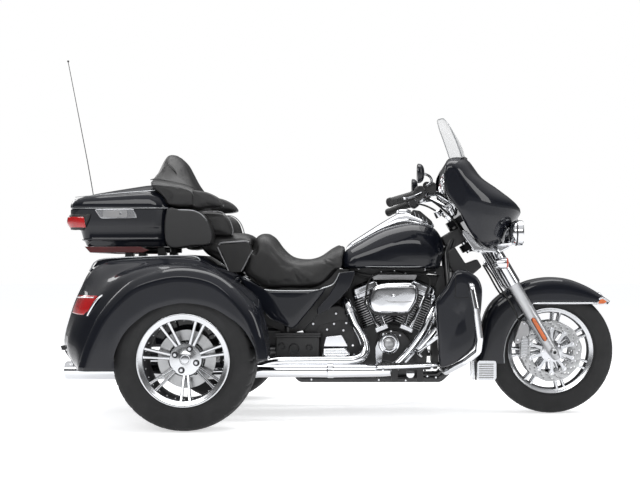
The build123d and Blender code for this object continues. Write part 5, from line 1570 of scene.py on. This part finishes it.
for word, lean in LEANS:
    points, faces, marks = [], [], []
    fins = [(170 + 11.5 * i, 80, 80, 26) for i in range(9)]
    fins += [(276 + 12 * i, 77, 84, 20) for i in range(5)]
    for up, half_x, half_y, corner in fins:
        for level in (up, up + 3.4):
            points += vee_ring(lean, level, half_x, half_y, corner)
        base = len(points) - 40
        faces += [tuple(range(base, base + 20)), tuple(range(base + 20, base + 40))]
        marks += [0, 0]
        for k in range(20):
            nxt = (k + 1) % 20
            faces.append((base + k, base + nxt, base + 20 + nxt, base + 20 + k))
            marks.append(1)
    mesh("cylinder_fins_" + word, points, faces, "engine", "chassis", sharp=30,
         mats=["engine", "fins"], face_mats=marks, slot="cylinder_fins",
         replaces=["cylinders"] if word == "rear" else ())
    rows_mesh("cylinder_core_" + word, [
        vee_ring(lean, up, half_x, half_y, corner) for up, half_x, half_y, corner in (
            (150, 62, 62, 40), (268, 62, 62, 40), (270, 58, 66, 16), (333, 58, 66, 16))
    ], "engine", "chassis", sharp=30, slot="cylinder_fins")
    rows_mesh("rocker_shell_" + word, [
        vee_ring(lean, up, half_x, half_y, corner) for up, half_x, half_y, corner in (
            (335, 73, 90, 22), (337, 75, 92, 24), (352, 75, 92, 24), (354.5, 72.5, 89.5, 22),
            (356, 69, 86, 20), (358, 69, 86, 20), (359.5, 71, 87.5, 22), (377, 70, 87, 22),
            (380, 66, 83, 20), (382, 66, 83, 20), (384, 68, 85, 22), (393, 62, 79, 20),
            (399, 54, 71, 18), (401, 44, 60, 16))
    ], "chrome", "chassis", sharp=30, slot="chrome",
        replaces=["rocker_covers"] if word == "rear" else ())
    tops = []
    for u in (-46, 0, 46):
        x, z = vee(lean, 345, u)
        tops.append((x, -92, z))
    bolts("rocker_bolts_" + word, tops, (0, -1, 0), 5.5, 4, "chrome_soft", "chassis",
          slot="chrome")
    plug_x, plug_z = vee(lean, 300, 30 if lean > 0 else -30)
    tube("plug_lead_" + word, [(plug_x, -84, plug_z), (plug_x, -112, plug_z + 4),
                               (plug_x + 30, -104, 680), (330, -60, 712)], 4.5, "rubber",
         "chassis", samples=30, n=8, slot="grip_rubber")
    # Lifter blocks and the pushrod tubes with their collars.
    a, b = vee(lean, 158, 0), vee(lean, 158, 0)
    block("lifter_block_" + word, (a[0], -122, a[1]), (66, 44, 24), "chrome", "chassis",
          turn=(0, -lean * -1, 0), bevel=4, segments=3, slot="chrome",
          replaces=["pushrod_tubes"] if word == "rear" else ())
    for k, shift in enumerate((-16, 16)):
        x0, z0 = vee(lean, 160, shift)
        x1, z1 = vee(lean, 334, shift * 1.5)
        foot, top = Vector((x0, -124, z0)), Vector((x1, -98, z1))
        tube("pushrod_tube_%s_%d" % (word, k), [foot.lerp(top, t / 10) for t in range(11)],
             9, "chrome", "chassis", n=20, radii=[12, 12, 9, 9, 9, 9, 10.5, 10.5, 9, 9, 9],
             slot="chrome")

# Crankcase trim: the gear cover plate, its round chrome cap and ribbed ring.
gear_plate = round_points([(214, 330), (232, 282), (330, 252), (392, 288), (408, 356),
                           (372, 408), (318, 424), (250, 414)], 22, 6)
plate("gear_cover_plate", gear_plate, -158, -100, "engine", "chassis", bevel=8, segments=4,
      sharp=50, slot="frame_black", replaces=["engine_covers"])
lathe("gear_cap", [(0, -29), (20, -28.5), (33, -27), (35, -24), (38, -24), (41, -28),
                   (48, -27), (52, -22), (53, -14), (53, 4)], (291, -154, 358), "chrome",
      "chassis", axis="Y", segs=72, sharp=40, slot="chrome")
lathe("gear_cap_face", [(0, -33), (8, -32.6), (16, -31.2), (22, -29.4), (25, -27.5)],
      (291, -154, 358), "slider", "chassis", axis="Y", segs=60, slot="chrome")
lathe("gear_cap_ring", [(24, -29.2), (26, -30), (28, -29.2)], (291, -154, 358), "cast",
      "chassis", axis="Y", segs=60, slot="chrome")
plate("oil_filter_cover", round_points([(226, 262), (250, 244), (262, 330), (236, 372),
                                        (222, 340)], 8, 4), -170, -120, "chrome_soft",
      "chassis", bevel=6, segments=3, sharp=50, slot="chrome")
for name, outline, y0 in (
    ("gearbox_cover_high", [(-30, 344), (-18, 392), (62, 400), (92, 344)], -178),
    ("gearbox_cover_low", [(-34, 290), (-34, 336), (80, 338), (104, 314), (96, 288)], -182),
):
    plate(name, round_points(outline, 10, 4), y0, -118, "chrome", "chassis", bevel=9,
          segments=5, sharp=60, slot="chrome")
for k in range(3):
    tube("gearbox_rib_%d" % k, [(-20, -183, 300 + 12 * k), (84, -183, 301 + 12 * k)], 2.4,
         "chrome_soft", "chassis", n=8, slot="chrome")
gearbox_top = round_points([(-140, 420), (-128, 478), (-60, 530), (40, 548), (96, 520),
                            (150, 440), (140, 400), (-120, 396)], 18, 5)
plate("gearbox_top", gearbox_top, -112, 112, "engine", "chassis", bevel=10, segments=4,
      sharp=50, slot="frame_black")
tube("starter_body", [(-70, -60, 500), (96, -60, 500)], 34, "engine", "chassis", n=28,
     radii=[30, 34], slot="frame_black")
primary = round_points([(-145, 300), (-70, 210), (60, 192), (330, 178), (428, 216), (448, 300),
                        (398, 383), (298, 408), (0, 423), (-108, 398)], 40, 7)
plate("primary_shell", primary, 134, 206, "chrome", "chassis", bevel=18, segments=6, sharp=60,
      slot="chrome")
lathe("primary_round_front", [(0, 8), (60, 7), (72, 4), (76, -2), (76, -10)],
      (318, 206, 296), "chrome", "chassis", axis=(0, 1, 0), segs=64, slot="chrome")
lathe("primary_round_rear", [(0, 8), (46, 7), (56, 4), (60, -2), (60, -10)],
      (-40, 206, 312), "chrome", "chassis", axis=(0, 1, 0), segs=56, slot="chrome")
RIGHT_BOLTS = ((262, 404), (300, 418), (344, 398), (228, 300), (384, 300), (398, 350))
bolts("gear_bolts", [(x, -158, z) for x, z in RIGHT_BOLTS], (0, -1, 0), 5.5, 5, "chrome",
      "chassis", slot="chrome")
CASE_BOLTS = ((-14, 424), (66, 420), (-66, 372), (112, 346), (-82, 452), (30, 502), (80, 456),
              (-58, 318), (118, 300), (20, 452))
bolts("case_bolts", [(x, -122, z) for x, z in CASE_BOLTS], (0, -1, 0), 7, 6, "chrome",
      "chassis", slot="chrome")
bolts("primary_bolts", [(318 + 66 * math.cos(a * 1.257), 211, 296 + 66 * math.sin(a * 1.257))
                        for a in range(5)], (0, 1, 0), 4.5, 4, "chrome_soft", "chassis",
      slot="chrome")

# Harness tray: a dark plate standing for the wiring and backbone mass, and painted shade that fills the gaps
# round the cylinder tops.
plate("harness_shade_plate", round_points([(-36, 470), (52, 698), (300, 704), (560, 690), (566, 600),
                                    (540, 480), (480, 410), (0, 410)], 16, 4), -32, 32,
      "plastic", "chassis", bevel=6, segments=3, sharp=50, slot="black_trim")

# Air cleaner: a swelled chrome shell with two grooves over a dark ring.
CLEANER = [(192, 556), (198, 596), (216, 636), (262, 653), (330, 657), (402, 655), (424, 630),
           (424, 578), (392, 524), (368, 510), (300, 510), (228, 514), (204, 530)]
cleaner_rows = [[(x, y, z) for x, z in swell(CLEANER, share, (312, 584))] for y, share in
                ((-250, 0.99), (-264, 1.0), (-276, 0.98), (-284, 0.93), (-289, 0.83),
                 (-291, 0.66), (-292, 0.4), (-292.5, 0.05))]
surface("air_cleaner_shell", cleaner_rows, "chrome", "chassis", du=3, dv=4, closed=True,
        caps=True, sharp=50, slot="chrome", replaces=["air_cleaner_cover"])
tube("air_cleaner_groove_high", [(232, -292, 628), (290, -293, 634), (408, -291, 634)], 3,
     "cast", "chassis", samples=24, n=8, radii=[(0, 1), (0.2, 3), (0.8, 3), (1, 1)],
     slot="chrome")
tube("air_cleaner_groove_low", [(270, -294, 574), (300, -295, 566), (398, -294, 566)], 3,
     "cast", "chassis", samples=24, n=8, radii=[(0, 1), (0.2, 3), (0.8, 3), (1, 1)],
     slot="chrome")
lathe("air_cleaner_bolt", [(0, -7), (5, -7), (8, -5), (9.5, -2), (9.5, 2)], (311, -294, 594),
      "chrome", "chassis", axis="Y", segs=28, slot="chrome")
ring_line = [(x, z - 8) for x, z in swell(CLEANER, 1.07, (312, 584))]
plate("air_cleaner_backing", round_points(ring_line, 10, 3), -252, -222, "plastic_smooth",
      "chassis", bevel=6, segments=3, sharp=60, slot="black_trim",
      replaces=["air_cleaner_ring"])
tube("air_cleaner_throat", [(318, -226, 585), (318, -96, 585)], 40, "engine", "chassis", n=32,
     slot="black_trim")

# Exhaust: bent headers, clamps, and a muffler on each side.
REAR_HEADER = [(72, -92, 566), (86, -160, 548), (126, -208, 456), (160, -228, 392),
               (174, -240, 340), (160, -252, 302), (118, -262, 286), (40, -268, 284),
               (-120, -271, 283), (-250, -272, 280), (-330, -274, 262)]
FRONT_HEADER = [(520, -62, 572), (506, -150, 520), (470, -206, 438), (424, -230, 368),
                (368, -252, 300), (320, -268, 258), (262, -274, 238)]
tube("header_rear_pipe", REAR_HEADER, 23, "chrome", "chassis", samples=90, n=24,
     slot="chrome", replaces=["exhaust"])
tube("header_front_pipe", FRONT_HEADER, 23, "chrome", "chassis", samples=60, n=24,
     slot="chrome")
tube("crossover_tube", [(118, -240, 228), (118, -200, 216), (118, 0, 214), (118, 200, 216),
                        (112, 262, 232)], 14, "chrome_soft", "chassis", samples=40, n=16,
     slot="chrome")
for side, word in ((-1, "right"), (1, "left")):
    y = side * 275
    lathe("muffler_" + word, [
        (39, -1190), (39, -1249), (41, -1250), (43, -1248), (43.5, -1236), (43, -1224), (43, -640),
        (41, -560), (38, -380), (33, -330), (32, -60), (33, -6), (36, -2), (36, 22), (33, 26),
        (31, 150), (29, 262), (26, 298), (20, 300), (0, 300)],
        (0, y, 238), "chrome", "chassis", axis=(1, 0, 0), segs=56, sharp=30, slot="chrome")
    # A matt black disc inside each tip: painted shade for the pipe's bore.
    lathe("muffler_bore_shade_" + word, [(0, -1196), (38, -1196), (40, -1200)], (0, y, 238), "dark",
          "chassis", axis=(1, 0, 0), segs=40, slot="chrome")
    block("muffler_hanger_" + word, (-500, side * 275, 300), (36, 14, 60), "frame", "chassis",
          bevel=4, slot="frame_black")
tube("header_clamp_rear", [(98, -178, 520), (106, -186, 502)], 29, "chrome_soft", "chassis",
     n=28, slot="chrome")
tube("header_clamp_front", [(494, -178, 482), (486, -188, 466)], 29, "chrome_soft", "chassis",
     n=28, slot="chrome")
shield = [(430, -252, 330), (470, -240, 372), (520, -222, 430)]
tube("front_heat_shield", shield, 17, "chrome", "chassis", samples=20, n=20, slot="chrome")

# Between frame and bodywork: battery box, wiring trough, oil cooler and steering neck.
plate("battery_box", round_points([(-345, 660), (-160, 652), (-30, 652), (30, 722), (96, 722),
                                   (30, 600), (-40, 520), (-130, 420), (-210, 400),
                                   (-345, 470)], 10, 3), -128, 128, "plastic_smooth",
      "chassis", bevel=5, sharp=50, slot="black_trim")
box_line = round_points([(-262, 284), (-262, 392), (-50, 392), (-50, 284)], 10, 4)
plate("ride_box", box_line, -178, -118, "plastic_smooth", "chassis", bevel=5, segments=3,
      sharp=50, slot="black_trim")
for k, z in enumerate((390, 401)):
    plate("ride_box_lid_%d" % k, round_points([(-272, z), (-44, z), (-40, z + 9),
          (-262, z + 9)], 3, 3), -186, -110, "plastic_smooth", "chassis", bevel=2.5,
          segments=3, slot="black_trim")
for k, (x, z, r) in enumerate(((-232, 346, 18), (-172, 334, 26), (-98, 340, 16))):
    lathe("ride_box_boss_%d" % k, [(0, -6), (r - 6, -6), (r - 3, -9), (r, -6), (r, 3)],
          (x, -178, z), "plastic", "chassis", axis="Y", segs=36, slot="black_trim")
plate("shock_cover", round_points([(-345, 250), (-345, 420), (-205, 420), (-205, 250)], 12, 4),
      -118, 118, "engine", "chassis", bevel=8, segments=3, sharp=50, slot="frame_black")
plate("wiring_trough", round_points([(66, 738), (560, 738), (590, 716), (560, 688), (452, 704),
                                     (400, 674), (316, 690), (232, 674), (150, 704),
                                     (96, 700)], 10, 3), -62, 62, "engine", "chassis",
      bevel=5, sharp=50, slot="frame_black")
bolts("trough_bolts", [(x, -64, z) for x, z in ((140, 722), (252, 706), (318, 712), (372, 700),
                                                (470, 716), (520, 706))],
      (0, -1, 0), 5, 5, "chrome_soft", "chassis", slot="chrome")
plate("fuel_rail", round_points([(212, 668), (420, 668), (430, 694), (204, 694)], 8, 3), -96,
      -50, "cast", "chassis", bevel=5, sharp=50, slot="engine_silver")
tube("trough_hose", [(120, -70, 706), (200, -84, 688), (300, -90, 704), (400, -84, 690),
                     (520, -66, 712)], 7, "rubber", "chassis", samples=50, n=10,
     slot="grip_rubber")
plate("oil_cooler", round_points([(500, 250), (560, 226), (600, 300), (604, 690), (548, 716),
                                  (520, 640), (500, 420)], 10, 3), -58, 58, "engine",
      "chassis", bevel=5, sharp=50, slot="frame_black")
neck_high = [fork_point(s, back) for s, back in ((686, 62), (768, 70), (766, 186), (686, 190))]
plate("neck_high", [(p.x, p.z) for p in neck_high], -44, 44, "engine", "chassis", bevel=8,
      segments=3, sharp=50, slot="frame_black")
neck_low = [fork_point(s, back) for s, back in (
    (590, 146), (690, 150), (690, 218), (560, 226), (520, 170), (535, 84), (580, 84))]
plate("neck_low", [(p.x, p.z) for p in neck_low], -58, 58, "engine", "chassis", bevel=8,
      segments=3, sharp=50, slot="frame_black")
for y in (-1, 1):
    tube("down_tube_cover_%d" % (y > 0), [(600, y * 60, 700), (596, y * 96, 560),
         (585, y * 118, 300), (566, y * 118, 214)], 22, "frame", "chassis", samples=30, n=16,
         slot="frame_black")

# Floorboards: a bright edge strip, a ribbed rubber pad and the pedals.
for side, word in ((-1, "right"), (1, "left")):
    pad = round_points([(236, -404), (462, -414), (506, -376), (506, -312), (236, -312)], 12, 4)
    low = [(x, side * abs(y), 268 + (x - 236) * 0.012) for x, y in pad]
    high = [(x, side * abs(y), 277 + (x - 236) * 0.012) for x, y in pad]
    rows_mesh("board_pad_" + word, [low, high], "rubber", "chassis", sharp=40, bevel=3,
              slot="grip_rubber")
    for k in range(11):
        x = 252 + 22 * k
        tube("board_rib_%s_%d" % (word, k), [(x, side * 322, 279), (x, side * 396, 279)], 3.5,
             "rubber", "chassis", n=8, slot="grip_rubber")
    tube("board_edge_" + word, [(234, side * 318, 264), (232, side * 400, 264),
                                (244, side * 416, 266), (350, side * 424, 270),
                                (466, side * 428, 276), (508, side * 398, 278),
                                (520, side * 340, 278)], 7.5, "chrome", "chassis",
         samples=60, n=14, slot="chrome")
    bolts("board_bolts_" + word, [(486, side * 424, 262), (260, side * 424, 252)],
          (0, side, 0), 7, 6, "chrome", "chassis", slot="chrome")
    lathe("peg_end_" + word, [(0, -7), (12, -7), (18, -4), (20, 0), (20, 12)],
          (388, side * 372, 232), "chrome", "chassis", axis=(0, -side, 0), segs=32,
          slot="chrome")
    bolts("rail_bolts_" + word, [(x, side * 136, z) for x, z in (
        (372, 176), (452, 176), (478, 196), (520, 190), (-90, 180), (240, 178))],
        (0, side, 0), 6, 6, "chrome_soft", "chassis", slot="chrome")

# Switch pod on the tank's nose, and the glove-box line in each lower fairing.
for side in (-1, 1):
    word = "right" if side < 0 else "left"
    tube("glove_line_" + word, [(598, side * 398.6, 700), (597, side * 400.4, 640),
                                (596, side * 400.6, 592), (606, side * 400.6, 588),
                                (660, side * 400.2, 588)], 1.3, "dark", "chassis",
         samples=40, n=6, slot="black_paint")
pod_outline = round_points([(404, 958), (396, 992), (410, 1018), (446, 1012), (504, 962),
                            (512, 944), (470, 944)], 7, 4)
plate("tank_nose_pod", pod_outline, -48, 48, "plastic_smooth", "chassis", bevel=7, segments=3,
      sharp=50, slot="black_trim")
for k in range(4):
    x = 418 + 20 * k
    z = 1012 - 13 * k
    tube("nose_pod_trim_%d" % k, [(x, -48.5, z - 4), (x + 7, -49, z - 30)], 1.6, "chrome_soft",
         "chassis", n=6, slot="chrome")
# Hinges' leaves and a lock on the rear panel.
for y in (-210, 210):
    block("trunk_hinge_leaf_%d" % (y > 0), (-1196, y, 462), (4, 78, 20), "plastic", "chassis",
          turn=(0, -22, 0), bevel=1.5, slot="black_trim")
lathe("trunk_lock", [(0, -5), (9, -5), (12, -3), (13, 3)], (-1102, 0, 680), "chrome",
      "trunk_door", axis=(1, 0, -0.4), segs=28, slot="chrome")

# PIECES

# Studio: pale floor, white background, soft lamps and the photograph's camera.
FLOOR_GLOW = 0.62
floor = bpy.data.objects.new("studio_floor", bpy.data.meshes.new("studio_floor"))
floor.data.from_pydata([(-40, -40, 0), (40, -40, 0), (40, 40, 0), (-40, 40, 0)], [],
                       [(0, 1, 2, 3)])
bpy.context.scene.collection.objects.link(floor)
floor_mat = bpy.data.materials.new("studio_floor")
floor_mat.use_nodes = True
tree = floor_mat.node_tree
tree.nodes.clear()
out = node(tree, "ShaderNodeOutputMaterial", 600, 0)
ray = node(tree, "ShaderNodeLightPath", -400, 300)
matte = node(tree, "ShaderNodeBsdfDiffuse", -100, 0)
matte.inputs["Color"].default_value = (0.86, 0.86, 0.87, 1)
glow = node(tree, "ShaderNodeEmission", -100, -200)
glow.inputs["Color"].default_value = (1, 1, 1, 1)
seen = node(tree, "ShaderNodeMath", -250, 300, operation="MAXIMUM")
tree.links.new(ray.outputs["Is Camera Ray"], seen.inputs[0])
tree.links.new(ray.outputs["Is Glossy Ray"], seen.inputs[1])
through = node(tree, "ShaderNodeMath", -200, 200, operation="MAXIMUM")
tree.links.new(seen.outputs[0], through.inputs[0])
tree.links.new(ray.outputs["Is Transmission Ray"], through.inputs[1])
share = node(tree, "ShaderNodeMath", -100, 200, operation="MULTIPLY")
tree.links.new(through.outputs[0], share.inputs[0])
share.inputs[1].default_value = FLOOR_GLOW
tree.links.new(share.outputs[0], glow.inputs["Strength"])
both = node(tree, "ShaderNodeAddShader", 250, 0)
tree.links.new(matte.outputs[0], both.inputs[0])
tree.links.new(glow.outputs[0], both.inputs[1])
tree.links.new(both.outputs[0], out.inputs["Surface"])
floor.data.materials.append(floor_mat)

world = bpy.data.worlds.new("studio")
bpy.context.scene.world = world
world.use_nodes = True
tree = world.node_tree
tree.nodes.clear()
out = node(tree, "ShaderNodeOutputWorld", 900, 0)
ray = node(tree, "ShaderNodeLightPath", -600, 400)
place = node(tree, "ShaderNodeTexCoord", -900, -100)
axes = node(tree, "ShaderNodeSeparateXYZ", -700, -100)
tree.links.new(place.outputs["Generated"], axes.inputs[0])
dome = node(tree, "ShaderNodeValToRGB", -400, -100)
stops = ((0.0, 0.9), (0.46, 0.8), (0.49, 0.42), (0.515, 0.38), (0.56, 0.1), (0.66, 0.12),
         (0.76, 0.5), (0.86, 1.0), (1.0, 1.0))
rise = node(tree, "ShaderNodeMapRange", -550, -100)
rise.inputs["From Min"].default_value = -1.0
tree.links.new(axes.outputs["Z"], rise.inputs["Value"])
tree.links.new(rise.outputs["Result"], dome.inputs["Fac"])
while len(dome.color_ramp.elements) < len(stops):
    dome.color_ramp.elements.new(0.5)
for element, (position, value) in zip(dome.color_ramp.elements, stops):
    element.position = position
    element.color = (value, value, value * 1.01, 1)
plain = node(tree, "ShaderNodeBackground", 100, 200)
plain.inputs["Color"].default_value = (1, 1, 1, 1)
plain.inputs["Strength"].default_value = 1.0
mirror_world = node(tree, "ShaderNodeBackground", 100, 0)
tree.links.new(dome.outputs["Color"], mirror_world.inputs["Color"])
mirror_world.inputs["Strength"].default_value = 0.9
fill = node(tree, "ShaderNodeBackground", 100, -200)
fill.inputs["Color"].default_value = (0.95, 0.97, 1.0, 1)
fill.inputs["Strength"].default_value = 0.45
seen = node(tree, "ShaderNodeMath", -200, 400, operation="MAXIMUM")
tree.links.new(ray.outputs["Is Camera Ray"], seen.inputs[0])
tree.links.new(ray.outputs["Is Transmission Ray"], seen.inputs[1])
first = node(tree, "ShaderNodeMixShader", 400, 0)
tree.links.new(ray.outputs["Is Glossy Ray"], first.inputs[0])
tree.links.new(fill.outputs[0], first.inputs[1])
tree.links.new(mirror_world.outputs[0], first.inputs[2])
second = node(tree, "ShaderNodeMixShader", 650, 0)
tree.links.new(seen.outputs[0], second.inputs[0])
tree.links.new(first.outputs[0], second.inputs[1])
tree.links.new(plain.outputs[0], second.inputs[2])
tree.links.new(second.outputs[0], out.inputs["Surface"])


def lamp(name, place, aim, size, power, colour=(1, 1, 1)):
    data = bpy.data.lights.new(name, "AREA")
    data.shape, data.size, data.size_y = "RECTANGLE", *size
    data.energy, data.color = power, colour
    made = bpy.data.objects.new(name, data)
    bpy.context.scene.collection.objects.link(made)
    made.location = place
    made.rotation_euler = (Vector(aim) - Vector(place)).to_track_quat("-Z", "Y").to_euler()


lamp("top_softbox", (0.0, 0.2, 4.2), (0, 0, 0.5), (4.5, 2.4), 150)
lamp("front_softbox", (4.6, -2.2, 2.6), (0.3, 0, 0.6), (1.6, 2.6), 60)
lamp("side_softbox", (-1.2, -5.2, 3.4), (0, 0, 0.6), (5.0, 1.6), 110)
lamp("back_softbox", (-4.2, 3.0, 3.0), (-0.3, 0, 0.6), (2.4, 2.0), 70)

camera_data = bpy.data.cameras.new("camera")
camera = bpy.data.objects.new("camera", camera_data)
bpy.context.scene.collection.objects.link(camera)
camera.location = (0.246, -5.16, 0.729)
camera.rotation_euler = (math.radians(90), 0, 0)
camera_data.sensor_width, camera_data.lens = 36.0, 57.6
camera_data.shift_x, camera_data.shift_y = -60 / 640, 27.5 / 640
bpy.context.scene.camera = camera
bpy.context.scene.view_settings.view_transform = "Standard"
